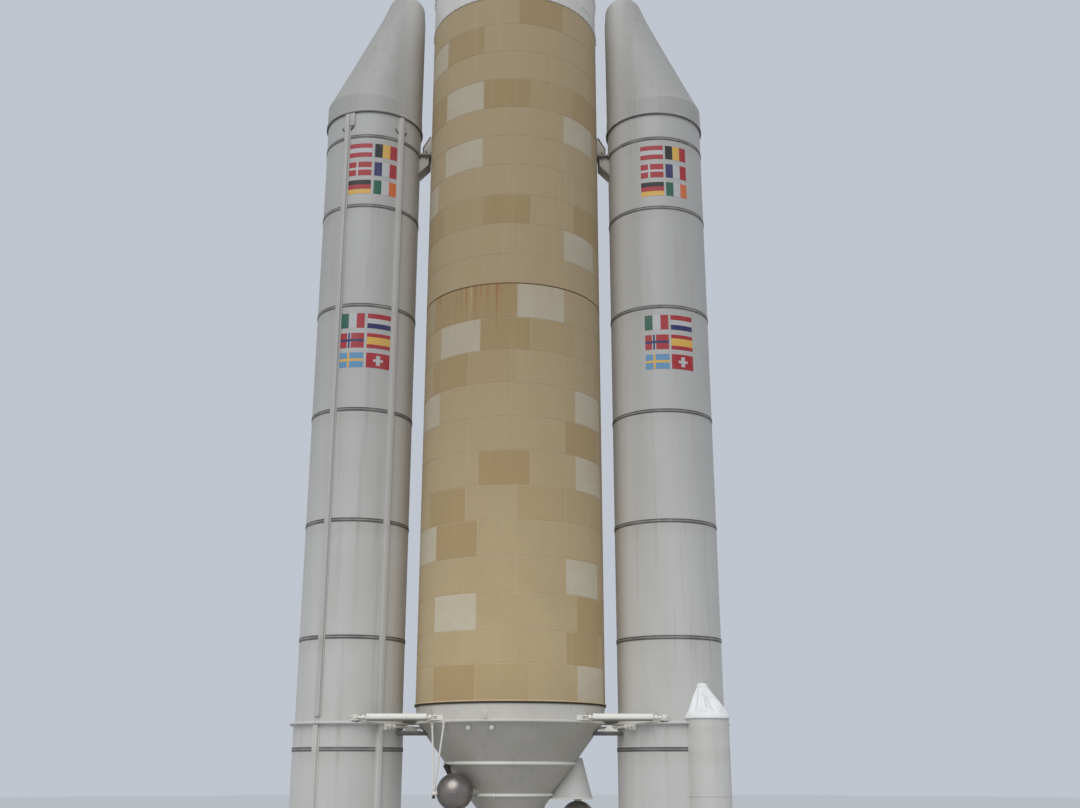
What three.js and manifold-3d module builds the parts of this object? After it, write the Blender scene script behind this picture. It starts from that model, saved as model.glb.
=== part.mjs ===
// A space launcher: a tan core stage, two white side boosters and a payload fairing, standing on its boosters.
// X runs across the two boosters, Y from the front to the back, Z up from the floor. The left booster is at -X.

import * as THREE from "three";
import { mergeVertices } from "three/addons/utils/BufferGeometryUtils.js";
import Module from "manifold-3d";

const wasm = await Module();
wasm.setup();

// Every size and place below is in metres of the real launcher, and real() gives the model's millimetres.
const MODEL_SCALE = 0.5;
const real = (metres) => metres * 1000 * MODEL_SCALE;

// Driving dimensions
const CORE_RADIUS = 2.76;
const BOOSTER_RADIUS = 1.54;
const BOOSTER_OFFSET = 4.68; // from the core's axis to a booster's axis
const OVERALL_HEIGHT = 53;
const SEAT = 0.0006; // the gap between two pieces that rest on each other at a cut face
const RUNNING = 0.0016; // the gap round a pin that turns in its hole
const SWING = 0.016; // the gap between surfaces that swing past each other
const JOINT_CHAMFER = 0.03; // the groove where two sections meet

// Heights of the core stage, from the floor
const GIMBAL_HEIGHT = 3.75;
const ENGINE_MOUNT_BOTTOM = 4.25;
const LOWER_HOOP = 5.95;
const UPPER_HOOP = 6.8;
const AFT_RING_BOTTOM = 7.84;
const TANK_BOTTOM = 8.38;
const TANK_SEAM = 20.53;
const TANK_TOP = 30.5;
const BAY_TOP = 31.95;
const CARRIER_TOP = 36;
const OGIVE_BOTTOM = 45.6;

// Heights of a booster
const SKIRT_FLARE_BOTTOM = 0.5;
const SKIRT_FLARE_TOP = 2.6;
const CASING_BOTTOM = 3.55;
const FLANGE_BOTTOM = 7.82;
const FLANGE_EDGE = 7.87;
const FLANGE_TOP = 8.02;
const AFT_JOINT = 13.56;
const FORWARD_JOINT = 23.65;
const NOSE_BOTTOM = 26.98;
const NOSE_BAND_TOP = 27.75;
const NOSE_TIP_CENTRE = 31.62;

// Radii of a booster
const CASING_RADIUS = 1.573;
const FLANGE_RADIUS = 1.7;
const SKIRT_FOOT_RADIUS = 1.85;
const SKIRT_WALL = 0.1;
const NOSE_LIP_RADIUS = 1.6;
const NOSE_RADIUS = 1.56;
const NOSE_TIP_RADIUS = 0.64;

const CORE_SIDES = 40;
const BOOSTER_SIDES = 32;
const SMALL_SIDES = 12;
const PIN_SIDES = 24;

// Finishes
const finish = (colour, roughness, metalness) => new THREE.MeshStandardMaterial({ color: colour, roughness, metalness });
const WHITE_STEEL = finish(0xd4d5d2, 0.55, 0);
const WHITE_COMPOSITE = finish(0xd0d1ce, 0.6, 0);
const TAN_FOAM = finish(0xb9a077, 0.85, 0);
const GREY_PAINT = finish(0xa3a49f, 0.5, 0.1);
const DARK_STEEL = finish(0x6b6867, 0.4, 0.8);
const ENGINE_METAL = finish(0x8a847c, 0.35, 0.9);
const BEARING_RUBBER = finish(0x2a2a2b, 0.8, 0);

// Solids
function toSolid(geometry) {
  const bare = geometry.index ? geometry.toNonIndexed() : geometry.clone();
  bare.deleteAttribute("normal");
  bare.deleteAttribute("uv");
  const merged = mergeVertices(bare, 1e-3);
  const vertProperties = merged.attributes.position.array;
  const triVerts = new Uint32Array(merged.index.array);
  return new wasm.Manifold(new wasm.Mesh({ numProp: 3, vertProperties, triVerts }));
}

function toGeometry(solid) {
  const mesh = solid.getMesh();
  const geometry = new THREE.BufferGeometry();
  geometry.setAttribute("position", new THREE.BufferAttribute(mesh.vertProperties, 3));
  geometry.setIndex(new THREE.BufferAttribute(mesh.triVerts, 1));
  geometry.computeVertexNormals();
  return geometry;
}

const joined = (solids) => solids.reduce((all, one) => all.add(one));

// Turns a profile of [radius, height] points, from the bottom up along the outside, about the Z axis.
function revolve(profile, sides) {
  const points = profile.map(([radius, height]) => new THREE.Vector2(real(radius), real(height)));
  const geometry = new THREE.LatheGeometry(points, sides);
  geometry.rotateX(Math.PI / 2);
  return toSolid(geometry);
}

const drum = (bottom, top, radius, sides) => {
  const edge = radius - JOINT_CHAMFER;
  const low = bottom + JOINT_CHAMFER;
  const high = top - JOINT_CHAMFER;
  return revolve([[0, bottom], [edge, bottom], [radius, low], [radius, high], [edge, top], [0, top]], sides);
};

function block([width, depth, height], [x, y, z]) {
  const geometry = new THREE.BoxGeometry(real(width), real(depth), real(height));
  geometry.translate(real(x), real(y), real(z));
  return toSolid(geometry);
}

// A round bar between two points, thinner at its far end where a second radius is given.
function bar(from, to, radius, endRadius = radius, sides = SMALL_SIDES) {
  const start = new THREE.Vector3(...from.map(real));
  const end = new THREE.Vector3(...to.map(real));
  const along = end.clone().sub(start);
  const geometry = new THREE.CylinderGeometry(real(endRadius), real(radius), along.length(), sides);
  const turn = new THREE.Quaternion().setFromUnitVectors(new THREE.Vector3(0, 1, 0), along.clone().normalize());
  geometry.applyQuaternion(turn);
  const middle = start.add(end).multiplyScalar(0.5);
  geometry.translate(middle.x, middle.y, middle.z);
  return toSolid(geometry);
}

function ball(radius, [x, y, z], sides = 16) {
  const geometry = new THREE.SphereGeometry(real(radius), sides, sides / 2);
  geometry.rotateX(Math.PI / 2);
  geometry.translate(real(x), real(y), real(z));
  return toSolid(geometry);
}

// A plate with an outline of [x, z] points, of that thickness along Y and centred on the XZ plane.
function plate(outline, thickness) {
  const shape = new THREE.Shape(outline.map(([x, z]) => new THREE.Vector2(real(x), real(z))));
  const geometry = new THREE.ExtrudeGeometry(shape, { depth: real(thickness), bevelEnabled: false });
  geometry.rotateX(Math.PI / 2);
  geometry.translate(0, real(thickness / 2), 0);
  return toSolid(geometry);
}

// Points of an arc about a centre on the axis, between two angles above the horizontal.
function arc(radius, centreHeight, fromDegrees, toDegrees, steps) {
  const points = [];
  for (let i = 0; i <= steps; i++) {
    const angle = THREE.MathUtils.degToRad(fromDegrees + ((toDegrees - fromDegrees) * i) / steps);
    points.push([radius * Math.cos(angle), centreHeight + radius * Math.sin(angle)]);
  }
  return points;
}

const launcher = new THREE.Group();

function add(group, name, solid, material) {
  const mesh = new THREE.Mesh(toGeometry(solid), material);
  mesh.name = name;
  group.add(mesh);
}

// Core stage tanks and the sections above them
const CORE_SECTIONS = [
  // name, bottom, top, finish
  ["core_tank_lower", TANK_BOTTOM, TANK_SEAM, TAN_FOAM],
  ["core_tank_upper", TANK_SEAM, TANK_TOP, TAN_FOAM],
  ["equipment_bay", TANK_TOP, BAY_TOP, WHITE_COMPOSITE],
  ["payload_carrier", BAY_TOP, CARRIER_TOP, WHITE_COMPOSITE],
];
for (const [name, bottom, top, material] of CORE_SECTIONS) {
  add(launcher, name, drum(bottom, top, CORE_RADIUS, CORE_SIDES), material);
}

// Payload fairing: a cylinder and a pointed arch with a round tip, in two halves that part at the boosters' plane
const FAIRING_TIP_RADIUS = 0.55;

function fairingProfile() {
  const tipHeight = OVERALL_HEIGHT - OGIVE_BOTTOM - FAIRING_TIP_RADIUS;
  const squares = tipHeight ** 2 + CORE_RADIUS ** 2 - FAIRING_TIP_RADIUS ** 2;
  const archRadius = squares / (2 * (CORE_RADIUS - FAIRING_TIP_RADIUS));
  const archCentre = CORE_RADIUS - archRadius;
  const meeting = Math.atan2(tipHeight, -archCentre);
  const profile = [[0, CARRIER_TOP], [CORE_RADIUS - JOINT_CHAMFER, CARRIER_TOP], [CORE_RADIUS, CARRIER_TOP + JOINT_CHAMFER]];
  const archSteps = 9;
  for (let i = 0; i <= archSteps; i++) {
    const angle = (meeting * i) / archSteps;
    profile.push([archCentre + archRadius * Math.cos(angle), OGIVE_BOTTOM + archRadius * Math.sin(angle)]);
  }
  const tipSteps = 4;
  for (let i = 1; i <= tipSteps; i++) {
    const angle = meeting + ((Math.PI / 2 - meeting) * i) / tipSteps;
    const height = OGIVE_BOTTOM + tipHeight + FAIRING_TIP_RADIUS * Math.sin(angle);
    profile.push([i === tipSteps ? 0 : FAIRING_TIP_RADIUS * Math.cos(angle), height]);
  }
  return profile;
}

const fairing = revolve(fairingProfile(), CORE_SIDES);
const halfSpace = (side) => block([8, 4, 20], [0, side * (2 + SEAT / 2), 45]);
add(launcher, "fairing_half_front", fairing.intersect(halfSpace(-1)), WHITE_COMPOSITE);
add(launcher, "fairing_half_back", fairing.intersect(halfSpace(1)), WHITE_COMPOSITE);

// Struts between the aft ends of the boosters and the core
const STRUT_HEIGHT = 7.99;
const STRUT_RADIUS = 0.1;
const STRUT_NECK = 0.045;
const STRUT_CORE_END = [-2.08, -1.75];
const STRUT_BOOSTER_END = [-4.3, -1.64];

// A point a given distance from one end of a line to the other.
function along([x0, y0, z0], [x1, y1, z1], distance) {
  const share = distance / Math.hypot(x1 - x0, y1 - y0, z1 - z0);
  return [x0 + (x1 - x0) * share, y0 + (y1 - y0) * share, z0 + (z1 - z0) * share];
}

// A tube with a thin neck and a taper at each end.
function strut(from, to, tubeRadius, neckRadius, neckLength, taperLength) {
  const neckIn = along(from, to, neckLength);
  const neckOut = along(to, from, neckLength);
  const tubeIn = along(from, to, neckLength + taperLength);
  const tubeOut = along(to, from, neckLength + taperLength);
  const overlap = 0.01;
  return joined([
    bar(from, along(from, to, neckLength + overlap), neckRadius),
    bar(neckIn, tubeIn, neckRadius, tubeRadius),
    bar(tubeIn, tubeOut, tubeRadius),
    bar(neckOut, tubeOut, neckRadius, tubeRadius),
    bar(to, along(to, from, neckLength + overlap), neckRadius),
  ]);
}

const mirrorX = (side, [x, y]) => [-side * x, y];
const mirrorY = (side, [x, y]) => [x, side * y];
const STRUTS = [];
for (const [place, side] of [["left", -1], ["right", 1]]) {
  for (const [end, face] of [["front", 1], ["rear", -1]]) {
    const core = mirrorX(side, mirrorY(face, STRUT_CORE_END));
    const booster = mirrorX(side, mirrorY(face, STRUT_BOOSTER_END));
    STRUTS.push({ name: `aft_strut_${end}_${place}`, side, face, core, booster });
  }
}

const atStrut = ([x, y]) => [x, y, STRUT_HEIGHT];
// The room that a strut's neck takes in its clevises.
const strutSlot = ({ core, booster }) => {
  const reach = 0.12;
  const start = along(atStrut(core), atStrut(booster), -reach);
  const stop = along(atStrut(booster), atStrut(core), -reach);
  return bar(start, stop, STRUT_NECK + SEAT);
};

for (const one of STRUTS) {
  const solid = strut(atStrut(one.core), atStrut(one.booster), STRUT_RADIUS, STRUT_NECK, 0.22, 0.1);
  add(launcher, one.name, solid, WHITE_STEEL);
}

// Diagonal rods below the struts, in the gap between each booster and the core
const DIAGONAL_HEIGHT = 7.765;
const DIAGONAL_RADIUS = 0.045;
const DIAGONAL_BOOSTER_END = [-3.417, -1.22];
const DIAGONAL_CORE_END = [-2.385, 1.275];
const LUG_SIZE = 0.16;
const LUG_BOTTOM = 7.665;
const DIAGONALS = [["left", -1], ["right", 1]].map(([place, side]) => ({
  name: `diagonal_rod_${place}`,
  side,
  core: mirrorX(side, DIAGONAL_CORE_END),
  booster: mirrorX(side, DIAGONAL_BOOSTER_END),
}));
const atDiagonal = ([x, y]) => [x, y, DIAGONAL_HEIGHT];
for (const { name, core, booster } of DIAGONALS) {
  add(launcher, name, bar(atDiagonal(core), atDiagonal(booster), DIAGONAL_RADIUS, DIAGONAL_RADIUS, 12), WHITE_STEEL);
}
// The room that a diagonal takes in its lugs.
const diagonalRoom = ({ core, booster }) => {
  const start = along(atDiagonal(core), atDiagonal(booster), -SEAT);
  const stop = along(atDiagonal(booster), atDiagonal(core), -SEAT);
  return bar(start, stop, DIAGONAL_RADIUS + SEAT, DIAGONAL_RADIUS + SEAT, 12);
};

// The upper cone of the thrust frame, grown by a gap where something is cut to clear it
const upperCone = (gap) =>
  revolve(
    [[0, UPPER_HOOP], [1.88 + gap, UPPER_HOOP], [2.66 + gap, AFT_RING_BOTTOM], [0, AFT_RING_BOTTOM]],
    CORE_SIDES,
  );

// Aft ring under the tank, with the clevises of the struts and the lugs of the diagonals
const AFT_RING_RADIUS = 2.7;
const AFT_RING_EDGE = 2.73;
const AFT_RING_LIP = CORE_RADIUS + 0.05;

function aftRing() {
  const edgeTop = AFT_RING_BOTTOM + 0.04;
  let ring = revolve(
    [
      [0, AFT_RING_BOTTOM],
      [AFT_RING_EDGE, AFT_RING_BOTTOM],
      [AFT_RING_EDGE, edgeTop],
      [AFT_RING_RADIUS, edgeTop + 0.02],
      [AFT_RING_RADIUS + 0.02, TANK_BOTTOM - 0.25],
      [AFT_RING_LIP, TANK_BOTTOM - 0.06],
      [AFT_RING_LIP, TANK_BOTTOM - 0.02],
      [AFT_RING_LIP - 0.03, TANK_BOTTOM],
      [0, TANK_BOTTOM],
    ],
    CORE_SIDES,
  );
  for (const one of STRUTS) {
    const [x, y] = one.core;
    const middle = [x * 0.97, y * 0.97];
    ring = ring.add(block([0.34, 0.24, 0.18], [middle[0], middle[1], STRUT_HEIGHT]));
  }
  for (const one of STRUTS) ring = ring.subtract(strutSlot(one));
  for (const one of DIAGONALS) {
    const [x, y] = one.core;
    const height = AFT_RING_BOTTOM + 0.02 - LUG_BOTTOM;
    ring = ring.add(block([LUG_SIZE, LUG_SIZE, height], [x, y, LUG_BOTTOM + height / 2]));
    ring = ring.subtract(diagonalRoom(one));
  }
  return ring.subtract(upperCone(SEAT));
}

// Thrust frame: three cones that carry the engine, with a hoop at each joint
const HOOP_HEIGHT = 0.06;
const UPPER_HOOP_RADIUS = 1.92;
const LOWER_HOOP_RADIUS = 1.27;
const MOUNT_RADIUS = 0.42;

const middleCone = revolve(
  [
    [0, LOWER_HOOP],
    [1.23, LOWER_HOOP],
    [1.86, UPPER_HOOP - HOOP_HEIGHT],
    [UPPER_HOOP_RADIUS, UPPER_HOOP - HOOP_HEIGHT],
    [UPPER_HOOP_RADIUS, UPPER_HOOP],
    [0, UPPER_HOOP],
  ],
  CORE_SIDES,
);

// The gimbal of the main engine: a cross between two forks
const FORK_INNER = 0.2;
const FORK_OUTER = 0.28;
const FORK_WIDTH = 0.24;
const PIN_RADIUS = 0.055;
const CROSS_HALF = 0.17;
const across = { x: [1, 0, 0], y: [0, 1, 0] };

// One lug of a fork, on the given side of the gimbal along X or Y, reaching from the gimbal to a height.
function forkLug(axis, side, height) {
  const centre = across[axis].map((v) => v * side * ((FORK_INNER + FORK_OUTER) / 2));
  const size = axis === "x" ? [FORK_OUTER - FORK_INNER, FORK_WIDTH] : [FORK_WIDTH, FORK_OUTER - FORK_INNER];
  const stem = block(
    [...size, Math.abs(height - GIMBAL_HEIGHT)],
    [centre[0], centre[1], (height + GIMBAL_HEIGHT) / 2],
  );
  const from = across[axis].map((v) => v * side * FORK_INNER);
  const to = across[axis].map((v) => v * side * FORK_OUTER);
  from[2] = GIMBAL_HEIGHT;
  to[2] = GIMBAL_HEIGHT;
  return stem.add(bar(from, to, FORK_WIDTH / 2));
}

function pin(axis, radius, reach) {
  const from = across[axis].map((v) => -v * reach);
  const to = across[axis].map((v) => v * reach);
  from[2] = GIMBAL_HEIGHT;
  to[2] = GIMBAL_HEIGHT;
  return bar(from, to, radius, radius, PIN_SIDES);
}

function fork(axis, height) {
  const lugs = joined([forkLug(axis, -1, height), forkLug(axis, 1, height)]);
  return lugs.subtract(pin(axis, PIN_RADIUS + RUNNING, FORK_OUTER + 0.05));
}

function engineMount() {
  const cone = revolve(
    [
      [0, ENGINE_MOUNT_BOTTOM],
      [MOUNT_RADIUS, ENGINE_MOUNT_BOTTOM],
      [MOUNT_RADIUS, ENGINE_MOUNT_BOTTOM + 0.12],
      [0.96, 5.55],
      [1.21, LOWER_HOOP - HOOP_HEIGHT],
      [LOWER_HOOP_RADIUS, LOWER_HOOP - HOOP_HEIGHT],
      [LOWER_HOOP_RADIUS, LOWER_HOOP],
      [0, LOWER_HOOP],
    ],
    CORE_SIDES,
  );
  return cone.add(fork("x", ENGINE_MOUNT_BOTTOM + 0.01));
}

add(launcher, "aft_ring", aftRing(), WHITE_STEEL);
add(launcher, "thrust_cone_upper", upperCone(0), GREY_PAINT);
add(launcher, "thrust_cone_middle", middleCone, GREY_PAINT);
add(launcher, "engine_mount", engineMount(), GREY_PAINT);

// Main engine
const CHAMBER_TOP = 3.28;
const THROAT_HEIGHT = 2.35;
const ENGINE_EXIT = 0.45;
const BELL_WALL = 0.04;
const BELL = [
  // outer radius, height
  [0.88, ENGINE_EXIT],
  [0.83, 0.75],
  [0.75, 1.1],
  [0.62, 1.5],
  [0.43, 1.9],
  [0.26, 2.2],
  [0.17, THROAT_HEIGHT],
];

function engineBell() {
  const inside = BELL.map(([radius, height]) => [radius - BELL_WALL, height]).reverse();
  return revolve([...BELL, ...inside, BELL[0]], CORE_SIDES);
}

// The combustion chamber, grown by a gap where a pipe is cut to meet it
const chamberBody = (gap) =>
  revolve(
    [
      [0, THROAT_HEIGHT],
      [0.17 + gap, THROAT_HEIGHT],
      [0.16 + gap, 2.5],
      [0.25 + gap, 2.8],
      [0.27 + gap, 3.1],
      [0.34 + gap, 3.18],
      [0.34 + gap, CHAMBER_TOP],
      [0, CHAMBER_TOP],
    ],
    24,
  );

const PUMPS = [
  // name, side, radius, bottom, top
  ["hydrogen", 1, 0.18, 2.5, 3.14],
  ["oxygen", -1, 0.15, 2.56, 3.1],
];
const PUMP_PLACE = 0.55;
const DUCT_RADIUS = 0.085;

function turbopump(side, radius, bottom, top) {
  const place = [side * PUMP_PLACE, 0];
  const shaped = revolve(
    [
      [0, bottom],
      [radius * 0.6, bottom],
      [radius * 0.75, bottom + 0.12],
      [radius, bottom + 0.2],
      [radius, top - 0.12],
      [radius * 0.7, top],
      [0, top],
    ],
    SMALL_SIDES,
  ).translate([real(place[0]), 0, 0]);
  const pipe = bar([0, 0, 2.98], [place[0], 0, 2.9], 0.06);
  return shaped.add(pipe).subtract(chamberBody(SEAT));
}

// The pipe that takes a turbine's exhaust down beside the bell.
function exhaustPipe(side, bottomOfPump) {
  const route = new THREE.CatmullRomCurve3(
    [
      [PUMP_PLACE, bottomOfPump + 0.05],
      [PUMP_PLACE + 0.02, 2.3],
      [0.68, 1.9],
      [0.84, 1.45],
      [0.97, 0.95],
      [1.03, 0.6],
    ].map(([x, z]) => new THREE.Vector3(real(side * x), 0, real(z))),
  );
  const section = new THREE.Shape().absarc(0, 0, real(DUCT_RADIUS), 0, Math.PI * 2);
  const geometry = new THREE.ExtrudeGeometry(section, {
    extrudePath: route,
    steps: 14,
    curveSegments: 6,
    bevelEnabled: false,
  });
  const above = block([1, 1, 1], [side * PUMP_PLACE, 0, bottomOfPump - SEAT + 0.5]);
  return toSolid(geometry).subtract(above);
}

const cross = joined([
  block([CROSS_HALF * 2, CROSS_HALF * 2, 0.18], [0, 0, GIMBAL_HEIGHT]),
  pin("x", PIN_RADIUS, FORK_OUTER + 0.02),
  pin("y", PIN_RADIUS, FORK_OUTER + 0.02),
]);
add(launcher, "engine_gimbal_cross", cross, DARK_STEEL);
add(launcher, "engine_chamber", chamberBody(0).add(fork("y", CHAMBER_TOP - 0.01)), ENGINE_METAL);
add(launcher, "engine_bell", engineBell(), ENGINE_METAL);
for (const [name, side, radius, bottom, top] of PUMPS) {
  add(launcher, `${name}_turbopump`, turbopump(side, radius, bottom, top), ENGINE_METAL);
  add(launcher, `${name}_exhaust_pipe`, exhaustPipe(side, bottom), DARK_STEEL);
}

// Helium spheres hung from the thrust frame
const SPHERE_RADIUS = 0.505;
const LEFT_SPHERE = [-1.51, -1.35, 6.01];
const RIGHT_SPHERE = [1.94, 0, 5.245];
const HANGER_FOOT = [-2.08, -1.45, 5.97];
const HANGER_TOPS = [
  [-2.15, -1.65],
  [-1.8, -2.03],
];
const HANGER_RADIUS = 0.03;
const coneRoom = (grow) =>
  joined([
    revolve([[0, 4.4], [0.96 + grow, 5.55], [1.21 + grow, 5.88], [1.27 + grow, 5.88], [1.27 + grow, 5.96], [0, 5.96]], CORE_SIDES),
    revolve(
      [
        [0, LOWER_HOOP],
        [1.23 + grow, LOWER_HOOP],
        [1.86 + grow, UPPER_HOOP - HOOP_HEIGHT - grow],
        [UPPER_HOOP_RADIUS + grow, UPPER_HOOP - HOOP_HEIGHT - grow],
        [UPPER_HOOP_RADIUS + grow, UPPER_HOOP + grow],
        [0, UPPER_HOOP + 0.2],
      ],
      CORE_SIDES,
    ),
  ]);

function sphereHanger() {
  const top = AFT_RING_BOTTOM - SEAT;
  const parts = HANGER_TOPS.map(([x, y]) => bar(HANGER_FOOT, [x, y, top + 0.1], HANGER_RADIUS, HANGER_RADIUS, 10));
  parts.push(bar(HANGER_FOOT, LEFT_SPHERE, 0.07, 0.07, 12));
  parts.push(ball(0.07, HANGER_FOOT, 12));
  const above = block([2, 2, 1], [-2, -1.6, top + 0.5]);
  return joined(parts).subtract(above).subtract(ball(SPHERE_RADIUS + SEAT, LEFT_SPHERE));
}

function sphereArm() {
  const reach = bar([0, 0, LEFT_SPHERE[2]], LEFT_SPHERE, 0.09, 0.09, 12);
  return reach.subtract(coneRoom(SEAT)).subtract(ball(SPHERE_RADIUS + SEAT, LEFT_SPHERE));
}

// The hood over the right-hand sphere: a leaning cone with a flange, let in to the thrust frame's side
function sphereHood() {
  const bottom = 5.82;
  const top = 6.92;
  const foot = 1.72;
  const below = block([2, 2, 1], [foot, 0, bottom - 0.02 - 0.5]);
  const hood = bar([foot, 0, bottom], [1.92, 0, top], 0.63, 0.16, 24).subtract(below);
  const flange = bar([foot, 0, bottom - 0.02], [foot, 0, bottom + 0.03], 0.645, 0.645, 24);
  const neck = bar(RIGHT_SPHERE, [RIGHT_SPHERE[0], 0, bottom + 0.05], 0.1, 0.1, 12);
  const solid = joined([hood, flange, neck]);
  return solid.subtract(coneRoom(SEAT)).subtract(upperCone(SEAT)).subtract(ball(SPHERE_RADIUS + SEAT, RIGHT_SPHERE));
}

add(launcher, "helium_sphere_left", ball(SPHERE_RADIUS, LEFT_SPHERE), DARK_STEEL);
add(launcher, "helium_sphere_right", ball(SPHERE_RADIUS, RIGHT_SPHERE), DARK_STEEL);
add(launcher, "sphere_hanger_left", sphereHanger(), WHITE_STEEL);
add(launcher, "sphere_arm_left", sphereArm(), GREY_PAINT);
add(launcher, "sphere_hood_right", sphereHood(), WHITE_STEEL);

// Front fittings, where the boosters push on the core
const FITTING_JOINT = 26.1;
const FITTING_DEPTH = 0.5;
const CORE_FITTING = [
  [-2.6, 26.8],
  [-2.82, 26.8],
  [-3.04, 26.4],
  [-3.04, FITTING_JOINT + 0.03],
  [-2.6, FITTING_JOINT + 0.03],
];
const BOOSTER_FITTING = [
  [-3.3, FITTING_JOINT],
  [-2.8, FITTING_JOINT],
  [-2.8, 25.75],
  [-3.12, 25.4],
  [-3.3, 25.4],
];
const roundAbout = (x, radius, sides) => {
  const room = revolve([[0, 20], [radius + SEAT, 20], [radius + SEAT, 30], [0, 30]], sides);
  return room.translate([real(x), 0, 0]);
};

for (const [place, side] of [["left", 1], ["right", -1]]) {
  const outline = (points) => points.map(([x, z]) => [x * side, z]);
  const ordered = (points) => (side === 1 ? points : [...points].reverse());
  const core = plate(ordered(outline(CORE_FITTING)), FITTING_DEPTH);
  const booster = plate(ordered(outline(BOOSTER_FITTING)), FITTING_DEPTH);
  const bolt = bar([-2.92 * side, 0, FITTING_JOINT - 0.05], [-2.92 * side, 0, FITTING_JOINT + 0.03 - SEAT], 0.1);
  add(launcher, `front_fitting_core_${place}`, core.subtract(roundAbout(0, CORE_RADIUS, CORE_SIDES)), GREY_PAINT);
  const seat = roundAbout(-BOOSTER_OFFSET * side, BOOSTER_RADIUS, BOOSTER_SIDES);
  add(launcher, `front_fitting_booster_${place}`, booster.add(bolt).subtract(seat), GREY_PAINT);
}

// Booster nozzle, on a bearing ring: spherical surfaces and short pins about one pivot
const PIVOT_HEIGHT = 3;
const SEAT_SPHERE = 0.79;
const BEARING_THICKNESS = 0.07;
const BEARING_OUTER = SEAT_SPHERE - SWING;
const BEARING_INNER = BEARING_OUTER - BEARING_THICKNESS;
const NOZZLE_SPHERE = BEARING_INNER - SWING;
const SEAT_OUTER = 0.95;

// Two pins that stand out from the pivot on either side, along X or Y.
function pivotPins(axis, from, to, radius) {
  const pair = [-1, 1].map((side) => {
    const start = across[axis].map((v) => v * side * from);
    const stop = across[axis].map((v) => v * side * to);
    start[2] = PIVOT_HEIGHT;
    stop[2] = PIVOT_HEIGHT;
    return bar(start, stop, radius, radius, PIN_SIDES);
  });
  return joined(pair);
}
const NOZZLE_EXIT = 0.3;
const NOZZLE_WALL = 0.06;
const NOZZLE_BELL = [
  // outer radius, height
  [1.25, NOZZLE_EXIT],
  [1.18, 0.85],
  [1.07, 1.4],
  [0.9, 2],
  [0.7, 2.5],
];

function boosterNozzle() {
  const inside = NOZZLE_BELL.map(([radius, height]) => [radius - NOZZLE_WALL, height]).reverse();
  const throat = [[0, 2.62], [0.3, 2.6]];
  const dome = arc(NOZZLE_SPHERE, PIVOT_HEIGHT, -8, 30, 5);
  const top = dome[dome.length - 1][1];
  const outside = [...NOZZLE_BELL, [0.62, 2.75], ...dome];
  const bell = revolve([...throat, ...inside, ...outside, [0, top]], BOOSTER_SIDES);
  return bell.add(pivotPins("y", NOZZLE_SPHERE - 0.05, BEARING_OUTER - 0.01, PIN_RADIUS));
}

function bearingRing() {
  const outer = arc(BEARING_OUTER, PIVOT_HEIGHT, -10, 26, 4);
  const inner = arc(BEARING_INNER, PIVOT_HEIGHT, 26, -10, 4);
  const ring = revolve([...outer, ...inner, outer[0]], BOOSTER_SIDES);
  const pinned = ring.add(pivotPins("x", BEARING_INNER + 0.02, SEAT_OUTER - 0.06, PIN_RADIUS));
  return pinned.subtract(pivotPins("y", NOZZLE_SPHERE, SEAT_SPHERE, PIN_RADIUS + RUNNING));
}

// The lower casing: the motor's aft end, with the bearing's seat below it and the wide flange above
function lowerCasing() {
  const seat = arc(SEAT_SPHERE, PIVOT_HEIGHT, 38, -10, 5);
  const casing = revolve(
    [
      [0, CASING_BOTTOM],
      [seat[0][0], CASING_BOTTOM],
      ...seat,
      [SEAT_OUTER, seat[seat.length - 1][1]],
      [SEAT_OUTER, CASING_BOTTOM],
      [CASING_RADIUS, CASING_BOTTOM],
      [CASING_RADIUS, FLANGE_BOTTOM],
      [FLANGE_RADIUS, FLANGE_BOTTOM],
      [FLANGE_RADIUS, FLANGE_EDGE],
      [BOOSTER_RADIUS + 0.02, FLANGE_TOP],
      [0, FLANGE_TOP],
    ],
    BOOSTER_SIDES,
  );
  return casing.subtract(pivotPins("x", BEARING_OUTER, SEAT_OUTER - 0.05, PIN_RADIUS + RUNNING));
}

function aftSkirt() {
  const outer = [
    [SKIRT_FOOT_RADIUS, 0],
    [SKIRT_FOOT_RADIUS, SKIRT_FLARE_BOTTOM],
    [CASING_RADIUS, SKIRT_FLARE_TOP],
    [CASING_RADIUS, CASING_BOTTOM],
  ];
  const inner = outer.map(([radius, height]) => [radius - SKIRT_WALL, height]).reverse();
  return revolve([...outer, ...inner, outer[0]], BOOSTER_SIDES);
}

// The outside of a booster from the skirt to above the flange, grown a little, for cutting what rests on it.
const boosterRoom = revolve(
  [
    [0, 0],
    [SKIRT_FOOT_RADIUS + SEAT, 0],
    [SKIRT_FOOT_RADIUS + SEAT, SKIRT_FLARE_BOTTOM],
    [CASING_RADIUS + SEAT, SKIRT_FLARE_TOP],
    [CASING_RADIUS + SEAT, FLANGE_BOTTOM - SEAT],
    [FLANGE_RADIUS + SEAT, FLANGE_BOTTOM - SEAT],
    [FLANGE_RADIUS + SEAT, FLANGE_EDGE + SEAT],
    [BOOSTER_RADIUS + 0.02 + SEAT, FLANGE_TOP + SEAT],
    [BOOSTER_RADIUS + SEAT, FLANGE_TOP + SEAT],
    [BOOSTER_RADIUS + SEAT, 30],
    [0, 30],
  ],
  BOOSTER_SIDES,
);

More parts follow.
